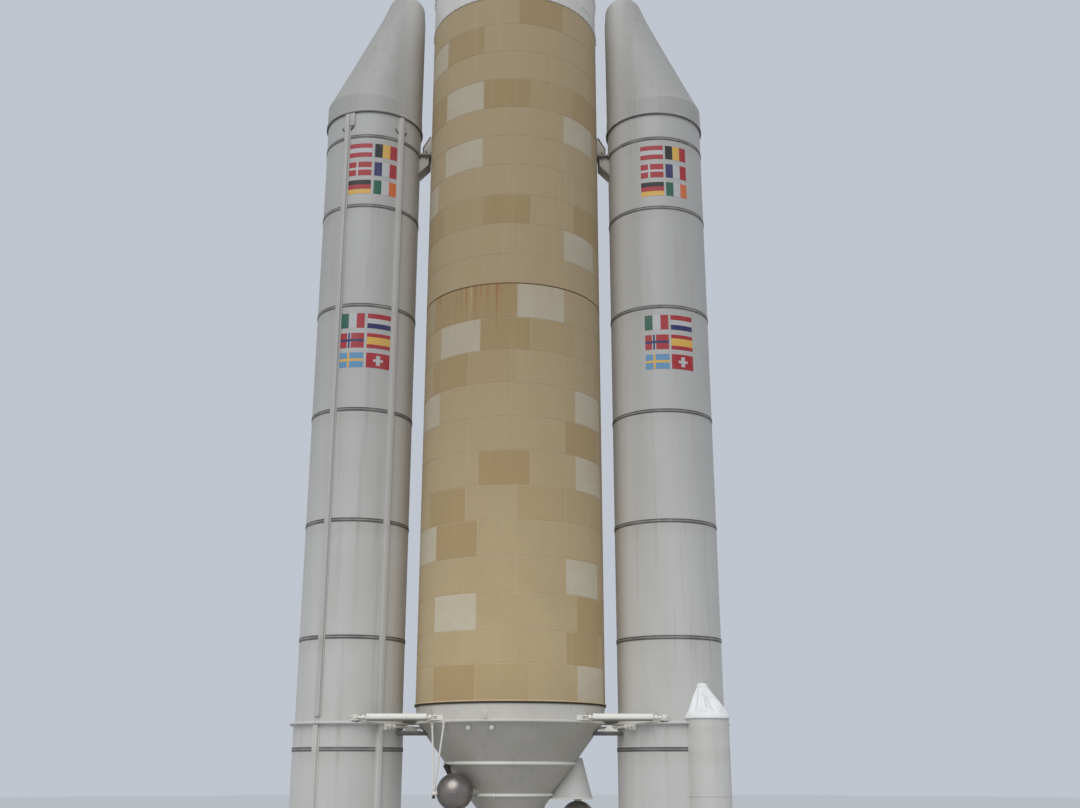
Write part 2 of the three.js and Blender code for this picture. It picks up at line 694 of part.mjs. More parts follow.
// A nose cone that leans towards the core, so that its inner side stays upright
function noseCone() {
  const lean = NOSE_RADIUS - NOSE_TIP_RADIUS;
  const lip = NOSE_BOTTOM + 0.08;
  const coneRise = NOSE_TIP_CENTRE - NOSE_BAND_TOP;
  const tipStart = THREE.MathUtils.radToDeg(Math.asin((NOSE_RADIUS - NOSE_TIP_RADIUS) / Math.hypot(coneRise, lean)));
  const tip = arc(NOSE_TIP_RADIUS, NOSE_TIP_CENTRE, tipStart, 90, 6);
  tip[tip.length - 1][0] = 0;
  const profile = [
    [0, NOSE_BOTTOM],
    [NOSE_LIP_RADIUS, NOSE_BOTTOM],
    [NOSE_LIP_RADIUS, lip],
    [NOSE_RADIUS + 0.02, lip + 0.02],
    [NOSE_RADIUS, NOSE_BAND_TOP],
    ...tip,
  ];
  const upright = revolve(profile, BOOSTER_SIDES);
  return upright.warp((vertex) => {
    const share = (vertex[2] - real(NOSE_BAND_TOP)) / real(coneRise);
    vertex[0] += real(lean) * Math.min(Math.max(share, 0), 1);
  });
}

// Cable ducts down one face of a booster, above and below the flange
const DUCT_WIDTH = 0.16;
const DUCT_PROUD = 0.085;
const DUCT_TOP = 26.93;
const DUCT_ANGLES = { inner: 40.6, outer: -26.4 }; // from the front of the left booster, towards the core

function cableDuct(degrees, bottom, top, radius) {
  const angle = THREE.MathUtils.degToRad(degrees);
  const inset = 0.06;
  const depth = DUCT_PROUD + inset;
  const geometry = new THREE.BoxGeometry(real(DUCT_WIDTH), real(depth), real(top - bottom));
  geometry.translate(0, -real(radius - inset + depth / 2), real((bottom + top) / 2));
  geometry.rotateZ(angle);
  return toSolid(geometry);
}

// The pod with a pointed cap beside the lower casing
const POD_ANGLE = -147.9; // from the front of the left booster, towards the core
const POD_PLACE = 1.57;
const POD_RADIUS = 0.62;
const POD_LEAN = 0.11;
const POD_BOTTOM = 2;
const POD_SHOULDER = 8.05;
const POD_TIP = 8.94;

function pod() {
  const angle = THREE.MathUtils.degToRad(POD_ANGLE);
  const tipRadius = 0.15;
  const shaped = revolve(
    [
      [0, POD_BOTTOM],
      [POD_RADIUS, POD_BOTTOM],
      [POD_RADIUS, POD_SHOULDER],
      [tipRadius, POD_TIP - 0.09],
      [tipRadius * 0.6, POD_TIP - 0.02],
      [0, POD_TIP],
    ],
    24,
  );
  const leaning = shaped.warp((vertex) => {
    const share = (vertex[2] - real(POD_SHOULDER)) / real(POD_TIP - POD_SHOULDER);
    vertex[0] += real(POD_LEAN) * Math.max(share, 0);
  });
  const placed = leaning.translate([real(POD_PLACE * Math.sin(angle)), -real(POD_PLACE * Math.cos(angle)), 0]);
  return placed.subtract(boosterRoom);
}

// Clevises on the flange for the struts, and lugs under it for the diagonals, in the booster's own frame
function flangeFittings(place, turned) {
  const own = ([x, y]) => (turned ? [-(x - BOOSTER_OFFSET), -y] : [x + BOOSTER_OFFSET, y]);
  const segment = revolve(
    [[0, FLANGE_TOP], [BOOSTER_RADIUS + SEAT, FLANGE_TOP], [BOOSTER_RADIUS + SEAT, FLANGE_TOP + 1], [0, FLANGE_TOP + 1]],
    BOOSTER_SIDES,
  );
  const slots = [segment];
  const blocks = [];
  for (const one of STRUTS.filter(({ name }) => name.endsWith(place))) {
    const [x, y] = own(one.booster);
    const [farX, farY] = own(one.core);
    slots.push(strutSlot({ core: [farX, farY], booster: [x, y] }));
    blocks.push(block([0.3, 0.22, 0.19], [x, y * 0.985, STRUT_HEIGHT - 0.015]));
  }
  for (const one of DIAGONALS.filter(({ name }) => name.endsWith(place))) {
    const [x, y] = own(one.booster);
    slots.push(diagonalRoom({ core: own(one.core), booster: [x, y] }));
    const height = FLANGE_BOTTOM + 0.02 - LUG_BOTTOM;
    blocks.push(block([LUG_SIZE, LUG_SIZE, height], [x * 0.97, y * 0.97, LUG_BOTTOM + height / 2]));
  }
  return { slots, blocks };
}

for (const [place, turned] of [["left", false], ["right", true]]) {
  const booster = new THREE.Group();
  booster.position.x = real(turned ? BOOSTER_OFFSET : -BOOSTER_OFFSET);
  booster.rotation.z = turned ? Math.PI : 0;
  launcher.add(booster);
  const sections = [
    // name, bottom, top
    ["aft_segment", FLANGE_TOP, AFT_JOINT],
    ["centre_segment", AFT_JOINT, FORWARD_JOINT],
    ["forward_segment", FORWARD_JOINT, NOSE_BOTTOM],
  ];
  for (const [name, bottom, top] of sections) {
    const solid = drum(bottom, top, BOOSTER_RADIUS, BOOSTER_SIDES);
    add(booster, `booster_${name}_${place}`, solid, WHITE_STEEL);
  }
  const { slots, blocks } = flangeFittings(place, turned);
  let casing = joined([lowerCasing(), ...blocks]);
  for (const slot of slots) casing = casing.subtract(slot);
  for (const [duct, angle] of Object.entries(DUCT_ANGLES)) {
    casing = casing.add(cableDuct(angle, CASING_BOTTOM, FLANGE_BOTTOM + 0.01, CASING_RADIUS));
    const upper = cableDuct(angle, FLANGE_TOP + SEAT, DUCT_TOP, BOOSTER_RADIUS).subtract(boosterRoom);
    add(booster, `booster_${duct}_duct_${place}`, upper, WHITE_STEEL);
  }
  add(booster, `booster_lower_casing_${place}`, casing, WHITE_STEEL);
  add(booster, `booster_aft_skirt_${place}`, aftSkirt(), WHITE_STEEL);
  add(booster, `booster_nose_${place}`, noseCone(), WHITE_COMPOSITE);
  add(booster, `booster_pod_${place}`, pod(), WHITE_STEEL);
  add(booster, `booster_bearing_${place}`, bearingRing(), BEARING_RUBBER);
  add(booster, `booster_nozzle_${place}`, boosterNozzle(), ENGINE_METAL);
}

export default launcher;
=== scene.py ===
# The looks of a space launcher: a tan core stage, two white side boosters and a payload fairing.
# X runs across the two boosters, Y from the front to the back, Z up from the floor. The left booster
# stands at -X. A left booster's pieces are modelled first, and the right booster's are their copies.

import math
from contextlib import contextmanager

import bpy
from mathutils import Matrix, Vector


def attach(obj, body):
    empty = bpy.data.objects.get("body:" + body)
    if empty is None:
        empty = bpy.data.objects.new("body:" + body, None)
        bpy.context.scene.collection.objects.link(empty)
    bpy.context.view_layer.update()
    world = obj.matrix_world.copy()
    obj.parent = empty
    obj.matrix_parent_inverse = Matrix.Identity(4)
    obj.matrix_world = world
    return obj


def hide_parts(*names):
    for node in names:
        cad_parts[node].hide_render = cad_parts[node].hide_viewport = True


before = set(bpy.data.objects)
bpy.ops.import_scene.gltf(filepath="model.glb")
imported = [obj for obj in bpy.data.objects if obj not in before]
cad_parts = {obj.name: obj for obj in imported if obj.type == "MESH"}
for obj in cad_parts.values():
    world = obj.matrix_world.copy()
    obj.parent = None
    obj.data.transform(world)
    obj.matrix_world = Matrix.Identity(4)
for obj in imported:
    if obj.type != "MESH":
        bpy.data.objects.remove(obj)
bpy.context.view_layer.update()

# Every size and place below is in metres of the real launcher. The modelling functions turn them into
# the model's metres. Angles are in degrees round an upright axis, from the front, anticlockwise from above.
SCALE = 0.5

CORE_RADIUS = 2.76
CORE_SIDES = 160
TANK_BOTTOM = 8.38
TANK_SEAM = 20.53
TANK_TOP = 30.5
BAY_TOP = 31.95
CARRIER_TOP = 36
OGIVE_BOTTOM = 45.6
OVERALL_HEIGHT = 53
AFT_RING_BOTTOM = 7.84
UPPER_HOOP = 6.8
LOWER_HOOP = 5.95
HOOP_HEIGHT = 0.06
GIMBAL_HEIGHT = 3.75

BOOSTER_OFFSET = 4.68
BOOSTER_RADIUS = 1.54
BOOSTER_SIDES = 120
CASING_RADIUS = 1.573
CASING_BOTTOM = 3.55
FLANGE_BOTTOM = 7.82
FLANGE_TOP = 8.02
AFT_JOINT = 13.56
FORWARD_JOINT = 23.65
NOSE_BOTTOM = 26.98
NOSE_BAND_TOP = 27.75
NOSE_TIP_CENTRE = 31.62
NOSE_RADIUS = 1.56
NOSE_TIP_RADIUS = 0.64
LEFT_AXIS = (-BOOSTER_OFFSET, 0)
PIVOT_HEIGHT = 3
STRUT_HEIGHT = 7.99

DUCT_ANGLES = {"inner": 40.6, "outer": -26.4}
DUCT_WIDTH = 0.16
DUCT_TOP = 26.93
BAND_HEIGHTS = [3.9, 7.14, 10.21, 13.58, 16.94, 20.28, 23.64, 26.09]


# Selecting and editing


def alone(*pieces):
    """Selects these pieces and nothing else. The first is the active one."""
    bpy.ops.object.select_all(action="DESELECT")
    for piece in pieces:
        piece.select_set(True)
    bpy.context.view_layer.objects.active = pieces[0]


@contextmanager
def editing(piece):
    """Edit mode on one piece, with all of its mesh selected."""
    alone(piece)
    bpy.ops.object.mode_set(mode="EDIT")
    bpy.ops.mesh.select_all(action="SELECT")
    yield
    bpy.ops.object.mode_set(mode="OBJECT")


def settled(piece):
    """Puts the piece's place in its mesh and turns its faces outwards."""
    alone(piece)
    bpy.ops.object.transform_apply(location=True, rotation=True, scale=True)
    with editing(piece):
        bpy.ops.mesh.remove_doubles(threshold=1e-5)
        bpy.ops.mesh.normals_make_consistent(inside=False)
    return piece


def named(piece, name):
    piece.name = name
    piece.data.name = name
    return piece


def modified(piece, kind, **settings):
    """Adds a modifier and applies it."""
    alone(piece)
    modifier = piece.modifiers.new(kind.lower(), kind)
    for setting, value in settings.items():
        setattr(modifier, setting, value)
    bpy.ops.object.modifier_apply(modifier=modifier.name)
    return piece


def rounded(piece, width, segments=2, angle=30):
    """Bevels the edges that are sharper than an angle."""
    return modified(
        piece, "BEVEL", width=width * SCALE, segments=segments, limit_method="ANGLE",
        angle_limit=math.radians(angle), harden_normals=False,
    )


def joined(name, parts):
    alone(*parts)
    if len(parts) > 1:
        bpy.ops.object.join()
    return named(bpy.context.object, name)


def copied(piece, turn=0, about=(0, 0)):
    """A copy with its own mesh, turned round an upright axis."""
    copy = piece.copy()
    copy.data = piece.data.copy()
    bpy.context.scene.collection.objects.link(copy)
    centre = Matrix.Translation(Vector((*about, 0)) * SCALE)
    spin = Matrix.Rotation(math.radians(turn), 4, "Z")
    copy.data.transform(centre @ spin @ centre.inverted())
    return copy


def array_round(piece, angles, about=(0, 0)):
    """Copies of a piece that stands at the front, one at each angle. The first one is used up."""
    copies = [copied(piece, angle, about=about) for angle in angles]
    bpy.data.objects.remove(piece)
    return copies


def other_booster(piece):
    """A copy of a left booster's piece, turned half round to the right booster."""
    return named(copied(piece, 180), piece.name.replace("left", "right"))


# Shapes


def turned(name, outline, at=(0, 0), sides=BOOSTER_SIDES):
    """A body drawn up ring by ring along [radius, height] points. A third value shifts a ring along X.
    An outline that comes back to its start is a hollow wall; any other is closed by flat ends."""
    rings = [(p[0] * SCALE, p[1] * SCALE, (at[0] + (p[2] if len(p) > 2 else 0)) * SCALE) for p in outline]
    y = at[1] * SCALE
    hollow = outline[0] == outline[-1]
    radius, height, x = rings[0]
    bpy.ops.object.select_all(action="DESELECT")
    bpy.ops.mesh.primitive_circle_add(
        vertices=sides, radius=radius, location=(x, y, height), fill_type="NOTHING" if hollow else "NGON"
    )
    piece = bpy.context.object
    bpy.ops.object.mode_set(mode="EDIT")
    bpy.ops.mesh.select_all(action="SELECT")
    for new_radius, new_height, new_x in rings[1:]:
        bpy.ops.mesh.extrude_region_move(
            TRANSFORM_OT_translate={"value": (new_x - x, 0, new_height - height)}
        )
        if new_radius == 0:
            bpy.ops.mesh.merge(type="CENTER")
            break
        growth = new_radius / radius
        bpy.ops.transform.resize(value=(growth, growth, 1), center_override=(new_x, y, new_height))
        radius, height, x = new_radius, new_height, new_x
    bpy.ops.object.mode_set(mode="OBJECT")
    return settled(named(piece, name))


def arc(radius, height, start, end, steps):
    """[radius, height] points of an arc about a centre on the axis, between angles above the level."""
    angles = [math.radians(start + (end - start) * i / steps) for i in range(steps + 1)]
    return [(radius * math.cos(a), height + radius * math.sin(a)) for a in angles]


def curved_plate(radius, thickness, bottom, top, start, end, at=(0, 0), steps=8, edge=0.0):
    """A plate that follows a drum's side: an upright section spun through an angle, with rounded edges."""
    x, y = at
    bpy.ops.object.select_all(action="DESELECT")
    bpy.ops.mesh.primitive_plane_add(
        size=SCALE,
        location=(x * SCALE, (y - radius - thickness / 2) * SCALE, (bottom + top) / 2 * SCALE),
        rotation=(math.radians(90), 0, math.radians(90)),
    )
    piece = bpy.context.object
    piece.scale = (thickness, top - bottom, 1)
    bpy.ops.object.transform_apply(location=True, rotation=True, scale=True)
    with editing(piece):
        bpy.ops.mesh.spin(
            steps=steps, angle=math.radians(start - end), center=(x * SCALE, y * SCALE, 0), axis=(0, 0, 1)
        )
        bpy.ops.mesh.select_all(action="SELECT")
        bpy.ops.transform.rotate(
            value=-math.radians(start), orient_axis="Z", center_override=(x * SCALE, y * SCALE, 0)
        )
    settled(piece)
    if edge:
        rounded(piece, edge, 1, 50)
    return piece


def block(size, place, edge=0.01, turn=0, segments=2):
    """A block with rounded edges, turned in place."""
    bpy.ops.object.select_all(action="DESELECT")
    bpy.ops.mesh.primitive_cube_add(
        size=SCALE, location=[v * SCALE for v in place], rotation=(0, 0, math.radians(turn))
    )
    piece = bpy.context.object
    piece.scale = size
    settled(piece)
    return rounded(piece, edge, segments) if edge else piece


def rod(start, end, radius, end_radius=None, sides=24, edge=0.0):
    """A round bar between two points."""
    first, last = Vector(start) * SCALE, Vector(end) * SCALE
    run = last - first
    bpy.ops.object.select_all(action="DESELECT")
    bpy.ops.mesh.primitive_cone_add(
        vertices=sides,
        radius1=radius * SCALE,
        radius2=(radius if end_radius is None else end_radius) * SCALE,
        depth=run.length,
        location=(first + last) / 2,
        rotation=run.to_track_quat("Z", "Y").to_euler(),
    )
    piece = settled(bpy.context.object)
    return rounded(piece, edge) if edge else piece


def bolt(radius, place, out=(0, -1, 0)):
    """A hexagon head on a washer, standing out along a direction."""
    foot, way = Vector(place), Vector(out).normalized()
    washer = rod(foot - way * radius, foot + way * radius * 0.3, radius * 1.5, sides=16)
    head = rod(foot, foot + way * radius * 1.1, radius, radius * 0.9, sides=6)
    return joined("bolt", [washer, head])


def tube(route, radius, sides=16):
    """A pipe of one bore along a smooth route of points."""
    bpy.ops.object.select_all(action="DESELECT")
    bpy.ops.curve.primitive_nurbs_path_add()
    curve = bpy.context.object.data
    curve.splines.clear()
    spline = curve.splines.new("NURBS")
    spline.points.add(len(route) - 1)
    for point, place in zip(spline.points, route):
        point.co = (*(Vector(place) * SCALE), 1)
    spline.use_endpoint_u = True
    spline.order_u = 4
    spline.resolution_u = 6
    curve.bevel_depth = radius * SCALE
    curve.bevel_resolution = sides // 4 - 1
    curve.use_fill_caps = True
    bpy.ops.object.convert(target="MESH")
    return settled(bpy.context.object)


def hoop(radius, height, thickness, at=(0, 0), sides=BOOSTER_SIDES):
    """A level ring of round section. The thickness is half of the bar's."""
    bpy.ops.object.select_all(action="DESELECT")
    bpy.ops.mesh.primitive_torus_add(
        major_segments=sides,
        minor_segments=10,
        major_radius=radius * SCALE,
        minor_radius=thickness * SCALE,
        location=(at[0] * SCALE, at[1] * SCALE, height * SCALE),
    )
    return settled(bpy.context.object)


# Finishes


def colour(red, green, blue):
    """A colour of three bytes, as a shader takes it."""
    def linear(byte):
        share = byte / 255
        return share / 12.92 if share <= 0.04045 else ((share + 0.055) / 1.055) ** 2.4
    return (linear(red), linear(green), linear(blue), 1)


class Wire:
    """One output of a shader node. Sums and products of wires and numbers add Math nodes."""

    def __init__(self, paint, socket):
        self.paint = paint
        self.socket = socket

    def __add__(self, other):
        return self.paint.maths("ADD", self, other)

    def __sub__(self, other):
        return self.paint.maths("SUBTRACT", self, other)

    def __rsub__(self, other):
        return self.paint.maths("SUBTRACT", other, self)

    def __mul__(self, other):
        return self.paint.maths("MULTIPLY", self, other)

    def __truediv__(self, other):
        return self.paint.maths("DIVIDE", self, other)

    def __pow__(self, other):
        return self.paint.maths("POWER", self, other)

    __radd__ = __add__
    __rmul__ = __mul__


class Paint:
    """A material in the making."""

    def __init__(self, name):
        self.material = bpy.data.materials.new(name)
        self.material.use_nodes = True
        self.tree = self.material.node_tree
        self.tree.nodes.clear()
        self.place = self.node("TexCoord", output="Object")
        split = self.node("SeparateXYZ", values={0: self.place})
        self.x, self.y, self.z = (Wire(self, socket) for socket in split.socket.node.outputs)

    def node(self, kind, settings=None, values=None, output=0):
        """Adds a node: its settings first, then the values or links of its sockets."""
        node = self.tree.nodes.new("ShaderNode" + kind)
        for setting, value in (settings or {}).items():
            if setting == "stops":
                self.set_stops(node.color_ramp.elements, value)
            else:
                setattr(node, setting, value)
        for socket, value in (values or {}).items():
            if isinstance(value, Wire):
                self.tree.links.new(value.socket, node.inputs[socket])
            else:
                node.inputs[socket].default_value = value
        return Wire(self, node.outputs[output])

    @staticmethod
    def set_stops(elements, stops):
        elements.remove(elements[1])
        elements[0].position = stops[0][0]
        for position, _ in stops[1:]:
            elements.new(position)
        for element, (_, value) in zip(elements, stops):
            element.color = (value, value, value, 1)

    def maths(self, operation, first, second=0.0):
        return self.node("Math", {"operation": operation}, {0: first, 1: second})

    def ramp(self, value, stops):
        """A number that follows its stops as value goes from 0 to 1."""
        return self.node("ValToRGB", {"stops": stops}, {0: value})

    def between(self, value, low, high):
        """0 below low, 1 above high, and smooth between them."""
        settings = {"interpolation_type": "SMOOTHSTEP"}
        return self.node("MapRange", settings, {"Value": value, "From Min": low, "From Max": high})

    def noise(self, size, stretch=(1, 1, 1), detail=4, rough=0.55):
        """A cloudy pattern whose spots are about that many model metres across."""
        place = self.node("Mapping", values={"Vector": self.place, "Scale": stretch})
        values = {"Vector": place, "Scale": 1 / size, "Detail": detail, "Roughness": rough}
        return self.node("TexNoise", values=values)

    def mix(self, factor, first, second, mode="MIX"):
        settings = {"data_type": "RGBA", "blend_type": mode}
        return self.node("Mix", settings, {0: factor, 6: first, 7: second}, output=2)

    def done(self, base, roughness, metallic=0.0, height=None, relief=0.002, **fixed):
        """Connects the surface. A height in 0 to 1 becomes a relief of that many model metres."""
        values = {"Base Color": base, "Roughness": roughness, "Metallic": metallic}
        if height is not None:
            values["Normal"] = self.node("Bump", values={"Height": height, "Distance": relief})
        values.update({name.replace("_", " "): value for name, value in fixed.items()})
        surface = self.node("BsdfPrincipled", values=values)
        end = self.tree.nodes.new("ShaderNodeOutputMaterial")
        self.tree.links.new(surface.socket, end.inputs["Surface"])
        return self.material


def inner_side(paint):
    """How far a point of a booster faces the core, from -1 to 1 on the booster's side."""
    across = paint.maths("ABSOLUTE", paint.x)
    return (BOOSTER_OFFSET * SCALE - across) / (BOOSTER_RADIUS * SCALE)


def below_bands(paint, heights, reach):
    """Dirt that runs down from each band and fades over a reach."""
    stops = []
    for height in heights:
        stops.append(((height - reach) / OVERALL_HEIGHT, 0.0))
        stops.append(((height - 0.06) / OVERALL_HEIGHT, 1.0))
        stops.append(((height + 0.02) / OVERALL_HEIGHT, 0.0))
    return paint.ramp(paint.z / (OVERALL_HEIGHT * SCALE), stops)


def painted_height_shade(paint, base, dull, mode="MIX"):
    """Fades a colour towards a darker one with height. This is painted shade: the upper parts are darker, and
    the lower parts lighter, as if lit back from the ground.
    """
    height_shade = paint.between(paint.z, 3.6, 10.8)
    return paint.mix(height_shade * 0.66, base, dull, mode)


def weathered_white(name, tint, grime=0.5, bands=(), gloss=0.42):
    """White paint with dull clouds, runs and dirt under each band, darker towards the top as painted shade.
    The side towards the core is painted lighter, as painted light against the shade between booster and core,
    under a warm tint that is painted bounce light from the tan core."""
    paint = Paint(name)
    runs = paint.noise(0.10, (1, 1, 0.035), 5, 0.6)
    wide_runs = paint.noise(0.42, (1, 1, 0.06), 3)
    clouds = paint.noise(1.1, detail=5, rough=0.6)
    speckle = paint.noise(0.012, detail=2)
    dull = paint.between(wide_runs, 0.38, 0.68) * 0.4 + paint.between(clouds, 0.4, 0.7) * 0.35
    thin = paint.between(runs, 0.52, 0.72)
    red, green, blue = tint
    base = paint.mix(dull * grime, colour(*tint), colour(red - 20, green - 21, blue - 25))
    # Painted shade: the white darkens towards the top.
    base = painted_height_shade(paint, base, colour(red - 40, green - 40, blue - 38))
    base = paint.mix(thin * grime * 0.45, base, colour(red - 46, green - 50, blue - 58))
    if bands:
        under = below_bands(paint, bands, 0.55) * (0.35 + thin * 0.65)
        base = paint.mix(under * grime * 0.55, base, colour(128, 120, 106))
    # Painted light: the side towards the core is lifted towards white against the shade between booster and
    # core.
    painted_inner_light = paint.between(inner_side(paint), 0.5, 0.9)
    base = paint.mix(painted_inner_light * 0.3, base, colour(244, 242, 236))
    # Painted bounce light: a warm brown tint on the side towards the core, broken up by the runs, for light
    # thrown back from the tan core.
    painted_core_bounce = paint.between(inner_side(paint), 0.72, 1.03) * (0.3 + wide_runs * 0.9)
    base = paint.mix(painted_core_bounce * 0.2, base, colour(150, 130, 104))
    base = paint.mix(paint.between(speckle, 0.62, 0.8) * 0.12, base, colour(110, 104, 96))
    roughness = gloss + dull * 0.22 + speckle * 0.06
    return paint.done(base, roughness, height=speckle * 0.35 + clouds * 0.65, relief=0.0016)


RUST_STREAKS = [
    # angle from the front, half width in degrees, length, strength, colour
    (-9.9, 0.55, 2.1, 0.85, (150, 92, 42)),
    (-14.6, 0.35, 1.8, 0.5, (150, 98, 52)),
    (-23.8, 0.6, 1.7, 0.8, (148, 88, 42)),
    (-26.6, 0.6, 1.2, 0.4, (206, 180, 134)),
    (-30.2, 0.8, 1.5, 0.7, (152, 98, 52)),
    (-34.6, 0.35, 1.4, 0.55, (140, 92, 52)),
    (-38.4, 0.4, 1.9, 0.7, (120, 84, 52)),
    (-46.5, 0.6, 1.6, 0.55, (146, 98, 56)),
    (-56, 0.6, 1.3, 0.4, (150, 106, 64)),
    (-66, 0.7, 1.2, 0.25, (150, 110, 70)),
]


def tan_foam():
    """Sprayed insulation under a thin skin: each panel has a tone of its own, with rust below the seam. The
    foam is painted darker towards the top as painted shade.
    """
    paint = Paint("tan foam")
    tone = paint.node("Attribute", {"attribute_name": "tone"}, output="Fac")
    base = paint.mix(paint.between(tone, 0.5, 1.0), colour(190, 167, 127), colour(204, 193, 168))
    base = paint.mix(paint.between(tone, 0.5, 0.0), base, colour(179, 151, 105))
    # Painted shade: the foam darkens towards the top.
    base = painted_height_shade(paint, base, colour(194, 195, 198), "MULTIPLY")
    clouds = paint.noise(0.5, detail=6, rough=0.62)
    runs = paint.noise(0.07, (1, 1, 0.05), 4, 0.6)
    grain = paint.noise(0.012, detail=3, rough=0.7)
    base = paint.mix(paint.between(clouds, 0.35, 0.7) * 0.18, base, colour(160, 136, 96))
    base = paint.mix(paint.between(runs, 0.5, 0.75) * 0.08, base, colour(206, 190, 156))
    base = paint.mix(paint.between(grain, 0.45, 0.75) * 0.14, base, colour(140, 118, 84))
    seam = TANK_SEAM * SCALE
    below_seam = paint.between(seam + 0.012 - paint.z, 0.0, 0.01)
    around = paint.maths("ARCTAN2", paint.x, paint.y * -1) * (180 / math.pi)
    wobble = paint.noise(0.12, (1, 1, 0.25), 3) - 0.5
    for angle, width, length, strength, stain in RUST_STREAKS:
        off = paint.maths("ABSOLUTE", around - angle + wobble * 0.8)
        streak = paint.between(off, width, width * 0.3) * paint.between(paint.z, seam - length * SCALE, seam)
        base = paint.mix(streak * below_seam * strength, base, colour(*stain))
    hang = paint.between(paint.z, seam - 0.5, seam + 0.05) * below_seam
    rust = hang * paint.between(paint.noise(0.06, (1, 1, 0.02), 3, 0.5), 0.5, 0.68)
    worst = paint.between(around, 10, -12) * 0.35 + 0.15
    base = paint.mix(rust * worst, base, colour(146, 92, 46))
    foot = paint.between(paint.z, TANK_BOTTOM * SCALE + 0.5, TANK_BOTTOM * SCALE)
    base = paint.mix(foot * runs * 0.3, base, colour(138, 120, 92))
    relief = grain * 0.6 + clouds * 0.4
    sheen = {"Sheen_Weight": 0.22, "Sheen_Roughness": 0.7, "Sheen_Tint": colour(226, 212, 184)}
    return paint.done(base, 0.78 + grain * 0.15, height=relief, relief=0.003, **sheen)


def joint_filler():
    """The paler foam that fills the joints between the panels, made paler still as painted light that lifts
    the shade in the narrow joints, and painted darker towards the top as painted shade.
    """
    paint = Paint("joint filler")
    grain = paint.noise(0.02, detail=3)
    stain = paint.between(paint.noise(0.3, (1, 1, 0.2), 4), 0.4, 0.7)
    # Paler than the panels: partly the filler's own colour, partly painted light that lifts the shade in the
    # narrow joints.
    base = paint.mix(stain * 0.6, colour(205, 187, 150), colour(191, 170, 131))
    # Painted shade: the filler darkens towards the top.
    base = painted_height_shade(paint, base, colour(194, 195, 198), "MULTIPLY")
    return paint.done(base, 0.8 + grain * 0.1, height=grain, relief=0.002)


def grey_paint(name="grey paint", tint=(178, 173, 162)):
    """Grey enamel on rolled plate, a little cloudy, with dirty runs."""
    paint = Paint(name)
    clouds = paint.noise(0.7, detail=5)
    runs = paint.noise(0.08, (1, 1, 0.08), 4)
    grain = paint.noise(0.01, detail=2)
    red, green, blue = tint
    faded = colour(red - 22, green - 22, blue - 24)
    base = paint.mix(paint.between(clouds, 0.35, 0.7) * 0.4, colour(*tint), faded)
    base = paint.mix(paint.between(runs, 0.55, 0.75) * 0.25, base, colour(red - 48, green - 50, blue - 56))
    return paint.done(base, 0.44 + clouds * 0.18, height=grain * 0.3 + clouds * 0.7, relief=0.0012)


def bright_white(name, red, green, blue, painted_shade_and_lichen=0.0):
    """The newer white enamel of the struts, the ring and their fittings. On the struts, the back and the
    underside are painted dark and mottled: painted shade, with lichen on it."""
    paint = Paint(name)
    clouds = paint.noise(0.4, detail=5)
    runs = paint.noise(0.05, (1, 1, 0.1), 4)
    chips = paint.noise(0.02, detail=4, rough=0.7)
    worn = colour(red - 22, green - 23, blue - 24)
    base = paint.mix(paint.between(clouds, 0.35, 0.7) * 0.35, colour(red, green, blue), worn)
    base = paint.mix(paint.between(runs, 0.56, 0.76) * 0.35, base, colour(160, 154, 142))
    base = paint.mix(paint.between(chips, 0.7, 0.78) * 0.5, base, colour(120, 104, 88))
    # Painted shade with lichen: the struts' back and underside turn dark and mottled.
    if painted_shade_and_lichen:
        lichen_and_shade = paint.mix(paint.noise(0.06, detail=5, rough=0.7), colour(52, 50, 40), colour(120, 116, 98))
        strut_middle = STRUT_HEIGHT * SCALE
        below = paint.between(paint.z, strut_middle - 0.012, strut_middle - 0.04)
        shade = paint.maths("MAXIMUM", paint.between(paint.y, 0.0, 0.5), below)
        base = paint.mix(shade * painted_shade_and_lichen, base, lichen_and_shade)
    return paint.done(base, 0.36 + clouds * 0.16, height=clouds, relief=0.001)


def band_paint(name, tint):
    """Dark sealing strip: rubbery, faded and dusty."""
    paint = Paint(name)
    fade = paint.noise(0.25, (1, 1, 0.4), 5)
    grain = paint.noise(0.008, detail=3)
    red, green, blue = tint
    base = paint.mix(paint.between(fade, 0.35, 0.7), colour(*tint), colour(red + 26, green + 25, blue + 22))
    return paint.done(base, 0.66 + grain * 0.15, height=grain, relief=0.001)


def sphere_metal():
    """Dark burnished titanium with a little heat tint."""
    paint = Paint("burnished titanium")
    clouds = paint.noise(0.16, detail=5, rough=0.6)
    brushed = paint.noise(0.012, (1, 1, 6), 3)
    base = paint.mix(paint.between(clouds, 0.3, 0.7), colour(128, 125, 122), colour(150, 142, 134))
    return paint.done(base, 0.26 + brushed * 0.14, 0.85, height=brushed, relief=0.0004)


def engine_metal():
    """Nickel alloy that has run hot: straw and blue tints low down, soot in the folds."""
    paint = Paint("heat tinted nickel")
    clouds = paint.noise(0.18, (1, 1, 0.4), 5)
    brushed = paint.noise(0.01, (1, 1, 8), 3)
    hot = paint.between(paint.z, 1.5, 0.25) * 0.7 + clouds * 0.3
    base = paint.mix(paint.between(hot, 0.2, 0.7), colour(156, 150, 142), colour(150, 124, 92))
    base = paint.mix(paint.between(hot, 0.75, 1.0) * 0.6, base, colour(92, 98, 118))
    base = paint.mix(paint.between(clouds, 0.6, 0.8) * 0.5, base, colour(66, 60, 56))
    return paint.done(base, 0.3 + clouds * 0.2, 0.9, height=brushed, relief=0.0006)


